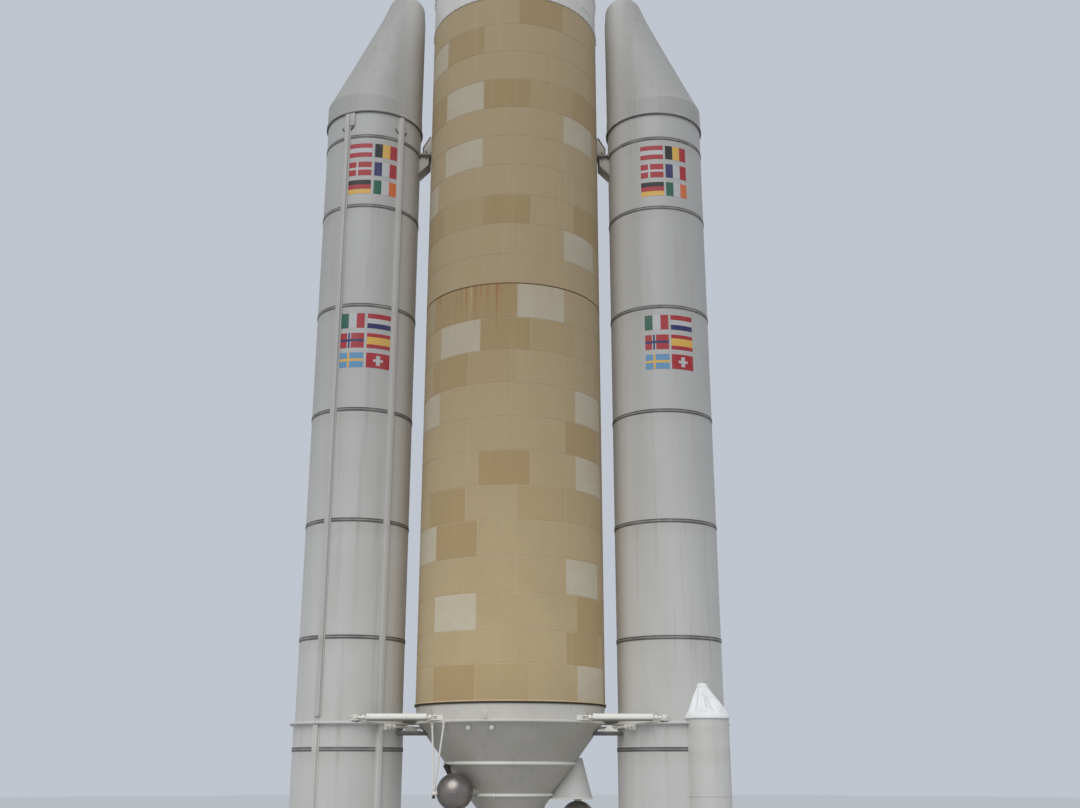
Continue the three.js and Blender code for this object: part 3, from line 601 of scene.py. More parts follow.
def nozzle_composite():
    """Carbon cloth and resin, wound in turns, with a dusting of alumina."""
    paint = Paint("nozzle composite")
    wave = {"wave_type": "BANDS", "bands_direction": "Z", "wave_profile": "SIN"}
    turns = paint.node("TexWave", wave, {"Vector": paint.place, "Scale": 22.0, "Distortion": 0.4})
    dust = paint.noise(0.3, (1, 1, 0.3), 6)
    grain = paint.noise(0.008, detail=3)
    base = paint.mix(turns * 0.4, colour(62, 60, 60), colour(84, 81, 78))
    base = paint.mix(paint.between(dust, 0.5, 0.8) * 0.45, base, colour(140, 134, 126))
    return paint.done(base, 0.55 + grain * 0.2, height=turns * 0.6 + grain * 0.4, relief=0.0012)


def bearing_rubber():
    """Black rubber and thin shims in turn, dusty."""
    paint = Paint("bearing rubber")
    wave = {"wave_type": "BANDS", "bands_direction": "Z"}
    plies = paint.node("TexWave", wave, {"Vector": paint.place, "Scale": 40.0, "Distortion": 0.2})
    dust = paint.noise(0.1, detail=5)
    base = paint.mix(plies * 0.35, colour(34, 34, 35), colour(58, 56, 54))
    base = paint.mix(paint.between(dust, 0.5, 0.8) * 0.4, base, colour(92, 88, 82))
    return paint.done(base, 0.75 + dust * 0.15, height=plies, relief=0.001)


def dull_steel(name="dull steel", tint=(118, 112, 104)):
    """Bare steel with patches of thin rust."""
    paint = Paint(name)
    clouds = paint.noise(0.06, detail=5)
    rust = paint.between(paint.noise(0.04, detail=6, rough=0.7), 0.56, 0.72)
    base = paint.mix(rust * 0.5, colour(*tint), colour(112, 74, 48))
    return paint.done(base, 0.42 + clouds * 0.25, 0.6, height=clouds, relief=0.0006)


def cap_cloth():
    """White coated cloth, tied down in pleats, dirty along the folds."""
    paint = Paint("coated cloth")
    weave = paint.noise(0.004, detail=1)
    folds = paint.noise(0.12, (1, 1, 0.3), 5, 0.6)
    dirt = paint.between(folds, 0.5, 0.72)
    base = paint.mix(dirt * 0.3, colour(236, 236, 234), colour(160, 156, 148))
    return paint.done(base, 0.7 + weave * 0.1, height=weave * 0.3 + folds * 0.7, relief=0.004)


def printed_film():
    """Self-adhesive film in flat colours, faded in patches by the sun."""
    paint = Paint("printed film")
    ink = paint.node("Attribute", {"attribute_name": "ink"}, output="Color")
    fade = paint.noise(0.2, (1, 1, 0.3), 5)
    grain = paint.noise(0.01, detail=2)
    base = paint.mix(paint.between(fade, 0.4, 0.7) * 0.08, ink, colour(170, 166, 160))
    return paint.done(base, 0.4 + fade * 0.2, height=grain, relief=0.0006)


def pale_floor():
    paint = Paint("pale floor")
    clouds = paint.noise(3.0, detail=4)
    base = paint.mix(clouds * 0.3, colour(196, 197, 198), colour(188, 189, 191))
    return paint.done(base, 0.8 + clouds * 0.1)


BOOSTER_WHITE = weathered_white("booster white", (199, 197, 191), 0.6, BAND_HEIGHTS)
CASING_WHITE = weathered_white("casing white", (200, 198, 192), 0.6, [3.9, 7.14, 7.84])
NOSE_WHITE = weathered_white("nose composite", (190, 188, 182), 0.8, gloss=0.5)
COMPOSITE_WHITE = weathered_white("fairing composite", (220, 218, 213), 0.45, [31.95, 36.0], 0.46)
TAN_FOAM = tan_foam()
FILLER = joint_filler()
GREY = grey_paint()
HOOP_GREY = grey_paint("light grey paint", (236, 232, 222))
HOOD_GREY = grey_paint("hood grey", (214, 212, 205))
# Painted shade: a darker grey for the left cable cover, which lies in shade.
SHADE_GREY = grey_paint("painted shade grey", (150, 147, 136))
BRIGHT = bright_white("bright white enamel", 236, 232, 222)
# Struts: the back and underside are painted dark as painted shade with lichen.
STRUT_WHITE = bright_white("strut enamel", 236, 232, 222, 0.85)
RING_WHITE = bright_white("ring enamel", 209, 204, 193)
BAND_DARK = band_paint("dark band", (82, 81, 79))
BAND_LIGHT = band_paint("faded band", (132, 130, 126))
SPHERE = sphere_metal()
ENGINE = engine_metal()
NOZZLE = nozzle_composite()
RUBBER = bearing_rubber()
STEEL = dull_steel()
DARK_STEEL = dull_steel("dark steel", (72, 68, 64))
CLOTH = cap_cloth()
FILM = printed_film()


def finish(piece, paints, body="airframe", stands_for=(), angle=32):
    """Smooths a finished piece, paints it and makes it ride. The paints are its material slots in order."""
    alone(piece)
    bpy.ops.object.shade_smooth_by_angle(angle=math.radians(angle))
    if not isinstance(paints, list):
        paints = [paints]
    if len(piece.data.materials) == 0 or len(paints) == 1:
        piece.data.materials.clear()
        for paint in paints:
            piece.data.materials.append(paint)
    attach(piece, body)
    if stands_for:
        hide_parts(*stands_for)


def painted(piece, paint):
    """Gives a part its paint before it is joined to others."""
    piece.data.materials.clear()
    piece.data.materials.append(paint)
    return piece


def finish_pair(piece, paints, bodies=("airframe", "airframe"), stands_for=(), angle=32):
    """Finishes a left booster's piece and its copy on the right booster."""
    right = other_booster(piece)
    for one, place, body in ((piece, "left", bodies[0]), (right, "right", bodies[1])):
        nodes = [f"{node}_{place}" for node in stands_for]
        finish(one, paints, body, nodes, angle)


# The tank's insulation

ROW_BOUNDARIES = [
    8.40, 9.37, 10.28, 11.30, 12.32, 13.35, 14.35, 15.38, 16.38, 17.40, 18.42, 19.43,
    20.53, 21.47, 22.48, 23.45, 24.47, 25.47, 26.47, 27.48, 28.48, 29.47, 30.50,
]
PANEL_PITCH = 31.4
PANELS_ROUND = 11
# The angle where an even and an odd row start, so that their joints don't line up
ROW_STARTS = (-153.8, -145.6)
PALE, PLAIN, DULL, DARK = 1.0, 0.5, 0.28, 0.0
# Panels that differ from the plain tone: row, middle angle, tone
PANEL_TONES = [
    (1, -37, DARK), (1, -7, DULL), (1, 57, PALE), (2, 47, DARK), (3, -37, PALE), (3, 57, DARK),
    (4, 47, PALE), (5, -67, PALE), (5, -37, DARK), (6, -47, DARK), (6, 16, DULL), (6, 48, DULL),
    (7, -7, DARK), (7, 57, PALE), (8, 47, DARK), (9, -67, PALE), (9, 57, PALE), (10, -46, DARK),
    (10, -15, DULL), (11, -37, PALE), (11, -7, DARK), (11, 25, DULL), (12, -46, DARK), (12, -15, DARK),
    (12, 16, PALE), (14, 47, PALE), (15, -67, DARK), (15, -37, DULL), (15, -7, DARK), (15, 57, DARK),
    (16, -78, PALE), (17, -37, PALE), (18, 47, PALE), (19, -67, DARK), (19, -37, PALE), (19, -7, DARK),
    (19, 25, DULL), (19, 50, DARK), (21, -67, PALE), (21, -37, DARK), (22, 16, DARK),
]
BACK_TONES = [PLAIN, DULL, PLAIN, DARK, PLAIN, PLAIN, PALE, PLAIN, DULL, PLAIN, DARK, PLAIN, PALE]


def panel_tone(row, middle):
    """The tone of the panel whose middle is at that angle."""
    if -95 < middle < 95:
        near = [tone for one, angle, tone in PANEL_TONES if one == row and abs(angle - middle) < 14]
        return near[0] if near else PLAIN
    return BACK_TONES[int(row * 5 + middle // 30) % len(BACK_TONES)]


def toned(panel, tone):
    """Gives a panel its tone, which the foam's material reads."""
    values = panel.data.attributes.new("tone", "FLOAT", "FACE")
    values.data.foreach_set("value", [tone] * len(panel.data.polygons))
    return panel


def panel_row(row, bottom, top):
    """One row of insulation panels round the tank, with a narrow closing panel at the back."""
    gap = 0.02
    proud = 0.007
    gap_angle = math.degrees(gap / CORE_RADIUS)
    start = ROW_STARTS[row % 2]
    shape = (CORE_RADIUS - proud, proud, bottom + gap / 2, top - gap / 2)
    closing = start + PANEL_PITCH * PANELS_ROUND
    wide = curved_plate(*shape, 0, PANEL_PITCH - gap_angle, steps=16, edge=0.005)
    panels = []
    for index in range(PANELS_ROUND):
        angle = start + PANEL_PITCH * index
        middle = (angle + PANEL_PITCH / 2 + 180) % 360 - 180
        panels.append(toned(copied(wide, angle), panel_tone(row, middle)))
    bpy.data.objects.remove(wide)
    narrow = curved_plate(*shape, closing, start + 360 - gap_angle, steps=7, edge=0.005)
    panels.append(toned(narrow, PLAIN))
    return panels


def tank(name, node, bottom, top, first_row):
    """One length of the tank: a drum of filler under rows of panels that stand a little proud of it."""
    panels = []
    row = first_row
    for low, high in zip(ROW_BOUNDARIES[:-1], ROW_BOUNDARIES[1:]):
        if bottom - 0.1 < low < top - 0.1:
            panels += panel_row(row, low, high)
            row += 1
    skin = joined(f"{name}_panels", panels)
    finish(skin, TAN_FOAM)
    ground = CORE_RADIUS - 0.006
    edge = 0.02
    outline = [(ground - edge, bottom), (ground, bottom + edge), (ground, top - edge), (ground - edge, top)]
    drum = turned(f"{name}_filler", outline, sides=CORE_SIDES)
    finish(drum, FILLER, stands_for=[node])


def tank_edges():
    """The lip round the tank's foot, a dark band under it that is painted shadow under the lip's overhang,
    and the dark strip between the tank's two lengths.
    """
    lip = [(2.6, 8.372), (2.788, 8.372), (2.798, 8.38), (2.798, 8.396), (2.785, 8.405), (2.765, 8.41)]
    # Painted shadow: a dark band under the lip, where the lip overhangs the ring.
    lip_shadow = [(2.6, 8.325), (2.784, 8.325), (2.79, 8.331), (2.79, 8.366), (2.784, 8.373), (2.6, 8.373)]
    strip = [(2.6, 20.5), (2.757, 20.5), (2.764, 20.51), (2.764, 20.54), (2.757, 20.55), (2.6, 20.55)]
    for name, section, paint, slot in (
        ("tank_foot_lip", lip, FILLER, "foam_insulation"),
        ("tank_foot_lip_shadow", lip_shadow, dull_steel("groove steel", (74, 58, 46)), "grey_paint"),
        ("tank_seam_strip", strip, dull_steel("seam steel", (104, 78, 56)), "grey_paint"),
    ):
        finish(turned(name, [*section, section[0]], sides=CORE_SIDES), paint)


# The boosters


def booster_segment(name, bottom, top):
    """A rolled steel drum with a small chamfer at each joint."""
    radius = BOOSTER_RADIUS
    outline = [(radius - 0.03, bottom), (radius, bottom + 0.02), (radius, top - 0.02), (radius - 0.03, top)]
    if bottom == FLANGE_TOP:
        outline[:2] = [(radius, bottom)]
    segment = turned(f"booster_{name}_left", outline, LEFT_AXIS)
    finish_pair(segment, BOOSTER_WHITE, stands_for=[f"booster_{name}"])


def band_sections(radius):
    """The two dark strips and the paler rib between them: radius, thickness, foot, top, paint."""
    return [
        (radius - 0.01, 0.022, -0.057, -0.019, BAND_DARK),
        (radius - 0.01, 0.026, -0.019, 0.019, BAND_LIGHT),
        (radius - 0.01, 0.022, 0.019, 0.057, BAND_DARK),
    ]


def booster_bands():
    """Strips over the joints of a booster, which stop on both sides of each cable duct."""
    for number, height in enumerate(BAND_HEIGHTS):
        radius = CASING_RADIUS if height < FLANGE_BOTTOM else BOOSTER_RADIUS
        margin = math.degrees((DUCT_WIDTH / 2 + 0.03) / radius)
        parts = []
        for start, end in ((DUCT_ANGLES["outer"], DUCT_ANGLES["inner"]),
                           (DUCT_ANGLES["inner"], DUCT_ANGLES["outer"] + 360)):
            steps = round((end - start) / 3)
            for inside, thickness, low, high, paint in band_sections(radius):
                plate = curved_plate(
                    inside, thickness, height + low, height + high,
                    start + margin, end - margin, LEFT_AXIS, steps, 0.004,
                )
                parts.append(painted(plate, paint))
        band = joined(f"booster_band_{number}_left", parts)
        finish_pair(band, [BAND_DARK, BAND_LIGHT])


def nose():
    """A cone that leans towards the core, so that its inner side stays upright."""
    lean = NOSE_RADIUS - NOSE_TIP_RADIUS
    rise = NOSE_TIP_CENTRE - NOSE_BAND_TOP
    cone_foot = 1.556
    outline = [
        (1.5, NOSE_BOTTOM),
        (1.585, NOSE_BOTTOM),
        (1.6, NOSE_BOTTOM + 0.015),
        (1.6, NOSE_BOTTOM + 0.065),
        (1.585, NOSE_BOTTOM + 0.085),
        (1.572, NOSE_BOTTOM + 0.1),
        (1.568, NOSE_BAND_TOP - 0.02),
        (cone_foot, NOSE_BAND_TOP),
    ]
    tip_start = math.degrees(math.asin(lean / math.hypot(rise, lean)))
    tip = arc(NOSE_TIP_RADIUS, NOSE_TIP_CENTRE, tip_start, 90, 12)
    tip_radius, tip_height = tip[0]
    steps = 8
    for step in range(1, steps):
        share = step / steps
        height = NOSE_BAND_TOP + (tip_height - NOSE_BAND_TOP) * share
        radius = cone_foot + (tip_radius - cone_foot) * share
        outline.append((radius, height, lean * (height - NOSE_BAND_TOP) / rise))
    for radius, height in tip:
        outline.append((max(radius, 0), height, lean * min((height - NOSE_BAND_TOP) / rise, 1)))
    outline[-1] = (0, outline[-1][1], lean)
    piece = turned("booster_nose_left", outline, LEFT_AXIS)
    # The joint between band and cone slopes down towards the core
    slope = 0.08
    for vertex in piece.data.vertices:
        height = vertex.co.z / SCALE
        share = (height - NOSE_BAND_TOP) / rise
        if -0.01 < share < 1:
            from_outside = vertex.co.x / SCALE + BOOSTER_OFFSET + cone_foot
            vertex.co.z -= slope * from_outside * (1 - max(share, 0)) * SCALE
    finish_pair(piece, NOSE_WHITE, stands_for=["booster_nose"], angle=24)
    rim = [(1.5, 26.955), (1.588, 26.955), (1.588, 26.985), (1.5, 26.985), (1.5, 26.955)]
    finish_pair(turned("nose_rim_left", rim, LEFT_AXIS), BAND_DARK)


def duct_length(bottom, top, radius):
    """A cable duct down the booster: a channel with a foot along each side."""
    proud = 0.085
    height, middle = top - bottom, (bottom + top) / 2
    x, y = LEFT_AXIS
    channel = block((DUCT_WIDTH, proud + 0.04, height), (x, y - radius - proud / 2 + 0.02, middle), 0.022)
    foot = block((DUCT_WIDTH + 0.07, 0.03, height), (x, y - radius - 0.004, middle), 0.006)
    return joined("duct", [channel, foot])


def cable_ducts():
    """Two ducts on each booster, each in one length over the segments and one over the lower casing."""
    for name, angle in DUCT_ANGLES.items():
        upper = duct_length(FLANGE_TOP + 0.001, DUCT_TOP, BOOSTER_RADIUS)
        duct = joined(f"booster_{name}_duct_left", array_round(upper, [angle], LEFT_AXIS))
        finish_pair(duct, BOOSTER_WHITE, stands_for=[f"booster_{name}_duct"])
        lower = duct_length(CASING_BOTTOM, FLANGE_BOTTOM - 0.001, CASING_RADIUS)
        low_duct = joined(f"casing_{name}_duct_left", array_round(lower, [angle], LEFT_AXIS))
        finish_pair(low_duct, CASING_WHITE)


def duct_heads():
    """The junction box beside the outer duct and the dark brackets that lean in to both ducts."""
    x, y = LEFT_AXIS
    box_angle = -20.85
    height = 0.45
    lid = block((0.2, 0.07, height), (x, y - BOOSTER_RADIUS - 0.01, DUCT_TOP - height / 2 + 0.02), 0.012)
    head = joined("duct_junction_box_left", array_round(lid, [box_angle], LEFT_AXIS))
    finish_pair(head, BOOSTER_WHITE)
    bracket_place = Matrix.Translation(Vector((x, y - BOOSTER_RADIUS - 0.012, 26.42)) * SCALE)
    lean = math.radians(38)
    beside_duct = 6.2
    brackets = []
    for duct in DUCT_ANGLES.values():
        for side in (-1, 1):
            arm = block((0.035, 0.05, 0.17), (0, 0, 0), 0.008)
            arm.data.transform(Matrix.Rotation(side * lean, 4, "Y"))
            arm.data.transform(bracket_place)
            brackets += array_round(arm, [duct + side * beside_duct], LEFT_AXIS)
    finish_pair(joined("duct_brackets_left", brackets), BAND_DARK)


def lower_casing():
    """The motor's aft end, with the bearing's seat below it and the wide flange above."""
    seat = arc(0.79, PIVOT_HEIGHT, 38, -10, 12)
    outline = [
        (seat[0][0], CASING_BOTTOM),
        *seat,
        (0.95, seat[-1][1]),
        (0.95, CASING_BOTTOM),
        (CASING_RADIUS - 0.02, CASING_BOTTOM),
        (CASING_RADIUS, CASING_BOTTOM + 0.02),
        (CASING_RADIUS, FLANGE_BOTTOM - 0.02),
        (1.59, FLANGE_BOTTOM),
        (1.69, FLANGE_BOTTOM),
        (1.7, FLANGE_BOTTOM + 0.008),
        (1.7, 7.855),
        (1.69, 7.866),
        (1.56, 7.872),
        (BOOSTER_RADIUS, 7.9),
        (BOOSTER_RADIUS, FLANGE_TOP),
        (seat[0][0], FLANGE_TOP),
        (seat[0][0], CASING_BOTTOM),
    ]
    casing = turned("booster_lower_casing_left", outline, LEFT_AXIS)
    plug = turned("casing_plug", [(0.66, CASING_BOTTOM), (0.66, FLANGE_TOP - 0.01)], LEFT_AXIS)
    x, y = LEFT_AXIS
    bolts = array_round(bolt(0.028, (x, y - 1.635, FLANGE_BOTTOM), (0, 0, -1)), range(6, 360, 12), LEFT_AXIS)
    shell = joined("booster_lower_casing_left", [casing, plug, *bolts])
    finish_pair(shell, CASING_WHITE, stands_for=["booster_lower_casing"])


def aft_skirt():
    """The flared skirt that the launcher stands on, stiffened by rings and stringers inside."""
    wall = 0.1
    foot_radius, flare_bottom, flare_top = 1.85, 0.5, 2.6
    outer = [
        (foot_radius - 0.01, 0),
        (foot_radius, 0.012),
        (foot_radius, flare_bottom),
        (CASING_RADIUS, flare_top),
        (CASING_RADIUS, CASING_BOTTOM),
    ]
    inner = [
        (CASING_RADIUS - wall, CASING_BOTTOM),
        (CASING_RADIUS - wall, flare_top),
        (foot_radius - wall, flare_bottom),
        (foot_radius - wall, 0),
    ]
    shell = turned("booster_aft_skirt_left", [*outer, *inner, outer[0]], LEFT_AXIS)
    rings = [turned("ring", [(1.7, z), (1.76, z), (1.76, z + 0.05), (1.7, z + 0.05), (1.7, z)], LEFT_AXIS)
             for z in (0.05, 0.42)]
    x, y = LEFT_AXIS
    foot = block((0.22, 0.05, 0.36), (x, y - foot_radius - 0.005, 0.19), 0.015)
    feet = array_round(foot, range(0, 360, 20), LEFT_AXIS)
    seams = [hoop(radius, height, bar, LEFT_AXIS) for radius, height, bar in
             ((foot_radius + 0.001, flare_bottom, 0.012), (1.5745, flare_top, 0.012), (1.575, 3.52, 0.016))]
    ribs = array_round(block((0.04, 0.07, 0.95), (x, y - 1.45, 3.05), 0.01), range(10, 360, 20), LEFT_AXIS)
    skirt = joined("booster_aft_skirt_left", [shell, *rings, *feet, *seams, *ribs])
    finish_pair(skirt, CASING_WHITE, stands_for=["booster_aft_skirt"])


# The boosters' nozzles, each on a bearing ring with two pins across two more

NOZZLE_BELL = [
    (1.25, 0.3), (1.22, 0.57), (1.18, 0.85), (1.13, 1.13), (1.07, 1.4), (0.99, 1.7), (0.9, 2.0), (0.8, 2.26),
    (0.7, 2.5), (0.62, 2.75),
]
NOZZLE_WALL = 0.06
NOZZLE_HOOP_PLACES = (0, 3, 6)


def pivot_pins(way, inner, outer):
    """Two short pins that face each other across a nozzle's pivot, along X or Y."""
    pivot = Vector((*LEFT_AXIS, PIVOT_HEIGHT))
    across = Vector((*way, 0))
    return [rod(pivot + across * side * inner, pivot + across * side * outer, 0.055) for side in (-1, 1)]


def booster_nozzle():
    """A wound bell below a dome that turns in the bearing ring."""
    inside = [(radius - NOZZLE_WALL, height) for radius, height in reversed(NOZZLE_BELL)][1:]
    dome = arc(0.688, PIVOT_HEIGHT, -8, 30, 10)
    outline = [*NOZZLE_BELL, *dome, (0.3, dome[-1][1]), (0.3, 2.6), *inside, NOZZLE_BELL[0]]
    body = turned("booster_nozzle_left", outline, LEFT_AXIS)
    throat = turned("throat_plug", [(0.31, 3.1), (0.31, 3.3)], LEFT_AXIS)
    hoops = [hoop(NOZZLE_BELL[i][0] + 0.005, NOZZLE_BELL[i][1], 0.028, LEFT_AXIS) for i in NOZZLE_HOOP_PLACES]
    nozzle = joined("booster_nozzle_left", [body, throat, *hoops, *pivot_pins((0, 1), 0.64, 0.764)])
    bodies = ("nozzle_left", "nozzle_right")
    finish_pair(nozzle, NOZZLE, bodies, ["booster_nozzle"])


def bearing():
    """The ring that a nozzle turns in, with two pins of its own in the casing's seat."""
    outer = arc(0.774, PIVOT_HEIGHT, -10, 26, 8)
    inner = arc(0.704, PIVOT_HEIGHT, 26, -10, 8)
    ring = turned("booster_bearing_left", [*outer, *inner, outer[0]], LEFT_AXIS)
    piece = joined("booster_bearing_left", [ring, *pivot_pins((1, 0), 0.724, 0.89)])
    bodies = ("bearing_left", "bearing_right")
    finish_pair(piece, RUBBER, bodies, ["booster_bearing"])


# The pods

POD_ANGLE = -147.9
POD_DISTANCE = 1.57
POD_RADIUS = 0.62
POD_SIDES = 72
CAP_FOOT = 8.05
CAP_RISE = 0.89
CAP_LEAN = 0.11
CAP_SIDE = [
    # share of the rise, radius
    (0.06, 0.61), (0.12, 0.57), (0.19, 0.53), (0.27, 0.485), (0.36, 0.435), (0.46, 0.38), (0.56, 0.33),
    (0.66, 0.28), (0.75, 0.235), (0.83, 0.2),
]


def pod():
    """A round pod beside the lower casing, cut off at the skirt's wall, under a cloth cap with a knob."""
    angle = math.radians(POD_ANGLE)
    place = (LEFT_AXIS[0] + POD_DISTANCE * math.sin(angle), LEFT_AXIS[1] - POD_DISTANCE * math.cos(angle))
    side = [(0.55, 2.0), (0.605, 2.02), (POD_RADIUS, 2.06), (POD_RADIUS, 7.98), (0.6, 8.02)]
    parts = [turned("booster_pod_left", side, place, POD_SIDES)]
    parts += [hoop(POD_RADIUS + 0.001, height, 0.012, place, POD_SIDES) for height in (2.5, 4.2, 5.9)]
    wall_middle = CASING_RADIUS - 0.05
    skirt_room = turned("skirt_room", [(1.8, 0), (1.8, 0.5), (wall_middle, 2.6), (wall_middle, 9)], LEFT_AXIS)
    for part in parts:
        modified(part, "BOOLEAN", operation="DIFFERENCE", object=skirt_room, solver="EXACT")
    bpy.data.objects.remove(skirt_room)
    finish_pair(joined("booster_pod_left", parts), CASING_WHITE, stands_for=["booster_pod"])
    outline = [(0.625, 7.965), (0.65, 7.96), (0.656, 7.975), (0.652, 8.0), (0.638, CAP_FOOT)]
    outline += [(radius, CAP_FOOT + CAP_RISE * share, CAP_LEAN * share) for share, radius in CAP_SIDE]
    outline += [
        (0.172, 8.825, 0.095), (0.178, 8.85, 0.1), (0.168, 8.885, 0.105), (0.14, 8.915, 0.108),
        (0.09, 8.935, CAP_LEAN), (0, 8.945, CAP_LEAN),
    ]
    cap = turned("pod_cap_left", outline, place, POD_SIDES * 2)
    pleat(cap, place)
    finish_pair(cap, CLOTH, angle=60)


def pleat(cap, place):
    """Pulls the cap's side into folds that fade out at its hem and knob."""
    pleats = 13
    folded_rise = 0.78
    for vertex in cap.data.vertices:
        height = vertex.co.z / SCALE
        share = (height - CAP_FOOT) / folded_rise
        if not 0 < share < 1:
            continue
        centre = Vector((place[0] + CAP_LEAN * share * 0.88, place[1])) * SCALE
        out = Vector((vertex.co.x - centre.x, vertex.co.y - centre.y))
        around = math.atan2(out.y, out.x)
        fold = math.sin(around * pleats + 1.3 * math.sin(around * 3) + share * 0.8)
        sag = math.sin(around * 4 + 1) * 0.35
        fold = abs(fold) ** 0.7 * math.copysign(1, fold)
        depth = 0.04 * math.sin(math.pi * min(share * 1.1, 1)) * (fold - 0.3 + sag)
        vertex.co.x += out.x / out.length * depth * SCALE
        vertex.co.y += out.y / out.length * depth * SCALE


# The flags on the boosters, of plain stripes and crosses

RED = colour(160, 34, 42)
BLUE = colour(36, 38, 90)
GREEN = colour(24, 88, 68)
YELLOW = colour(210, 166, 74)
ORANGE = colour(202, 100, 40)
BLACK = colour(15, 15, 17)
WHITE = colour(181, 181, 179)
SKY = colour(92, 140, 176)
FLAG_COLUMNS = 24
FLAG_ROWS = 12
FLAG_HEIGHT = 0.475
FLAG_LENGTH = 1.5  # in heights of a flag


# A design gives the ink at a place on the flag: the shares of its length and height, from the top left


def level(*inks):
    """Level stripes of one height."""
    return lambda along, down: inks[int(down * len(inks))]


def upright(*inks):
    """Upright stripes of one width."""
    return lambda along, down: inks[int(along * len(inks))]


def cross(field, arm, middle, width, rim=None, rim_width=0.0):
    """A cross from edge to edge, whose upright arm stands at middle."""
    def ink(along, down):
        off = min(abs(along - middle) * FLAG_LENGTH, abs(down - 0.5))
        if off < width:
            return arm
        return rim if rim and off < rim_width else field
    return ink


def short_cross(along, down):
    """A cross that doesn't reach the edges."""
    across, up = abs(along - 0.5) * FLAG_LENGTH, abs(down - 0.5)
    return WHITE if min(across, up) < 0.1 and max(across, up) < 0.32 else RED


UPPER_FLAGS = [
    [level(RED, WHITE, RED), upright(BLACK, YELLOW, RED)],
    [cross(RED, WHITE, 0.38, 0.07), upright(BLUE, WHITE, RED)],
    [level(BLACK, RED, YELLOW), upright(GREEN, WHITE, ORANGE)],
]
LOWER_FLAGS = [
    [upright(GREEN, WHITE, RED), level(RED, WHITE, BLUE)],
    [cross(RED, BLUE, 0.38, 0.05, WHITE, 0.12), level(RED, YELLOW, YELLOW, RED)],
    [cross(SKY, YELLOW, 0.38, 0.08), short_cross],
]
FLAG_GROUPS = [
    # flags, height of each row's top
    (UPPER_FLAGS, (25.82, 25.17, 24.53)),
    (LOWER_FLAGS, (20.00, 19.36, 18.73)),
]


def flag(design, axis, start, end, top):
    """A sheet of film on the booster's side between two angles, with a face for each square of its design."""
    bpy.ops.object.select_all(action="DESELECT")
    bpy.ops.mesh.primitive_grid_add(x_subdivisions=FLAG_COLUMNS, y_subdivisions=FLAG_ROWS, size=1)
    sheet = bpy.context.object
    inks = sheet.data.color_attributes.new("ink", "FLOAT_COLOR", "CORNER")
    for face in sheet.data.polygons:
        ink = design(face.center.x + 0.5, 0.5 - face.center.y)
        for corner in face.loop_indices:
            inks.data[corner].color = ink
    radius = BOOSTER_RADIUS + 0.003
    for vertex in sheet.data.vertices:
        angle = math.radians(start + (end - start) * (vertex.co.x + 0.5))
        z = top - FLAG_HEIGHT * (0.5 - vertex.co.y)
        place = Vector((axis[0] + radius * math.sin(angle), axis[1] - radius * math.cos(angle), z))
        vertex.co = place * SCALE
    return sheet


def flags(name, axis, columns):
    """Both groups of flags on one booster, in two columns between these angles."""
    sheets = []
    for designs, tops in FLAG_GROUPS:
        for row, top in zip(designs, tops):
            for design, (start, end) in zip(row, columns):
                sheets.append(flag(design, axis, start, end, top))
    panel = joined(f"flags_{name}", sheets)
    modified(panel, "SOLIDIFY", thickness=0.003 * SCALE, offset=0)
    finish(panel, FILM)


# Core parts above the tank


def flange_bolts(height):
    """A ring of bolts through a flange of the core."""
    return array_round(bolt(0.02, (0, -CORE_RADIUS - 0.02, height)), range(0, 360, 5))


def equipment_bay():
    """The bay over the tank, with a bolted flange at each end and four doors in frames."""
    r = CORE_RADIUS
    outline = [
        (r - 0.03, TANK_TOP + 0.001), (r + 0.02, TANK_TOP + 0.012), (r + 0.02, TANK_TOP + 0.09),
        (r - 0.004, TANK_TOP + 0.11), (r - 0.004, BAY_TOP - 0.11), (r + 0.02, BAY_TOP - 0.09),
        (r + 0.02, BAY_TOP - 0.015), (r - 0.03, BAY_TOP - 0.001),
    ]
    shell = turned("equipment_bay_shell", outline, sides=CORE_SIDES)
    bolts = flange_bolts(TANK_TOP + 0.05) + flange_bolts(BAY_TOP - 0.05)
    low, high = TANK_TOP + 0.34, BAY_TOP - 0.34
    doors = []
    for angle in (-100, -20, 60, 140):
        doors += [
            curved_plate(r - 0.01, 0.022, low + 0.06, high - 0.06, angle - 7, angle + 7, steps=6, edge=0.01),
            curved_plate(r - 0.012, 0.014, low, high, angle - 8.3, angle + 8.3, steps=7, edge=0.006),
        ]
    bay = joined("equipment_bay_shell", [shell, *bolts, *doors])
    finish(bay, COMPOSITE_WHITE, stands_for=["equipment_bay"])


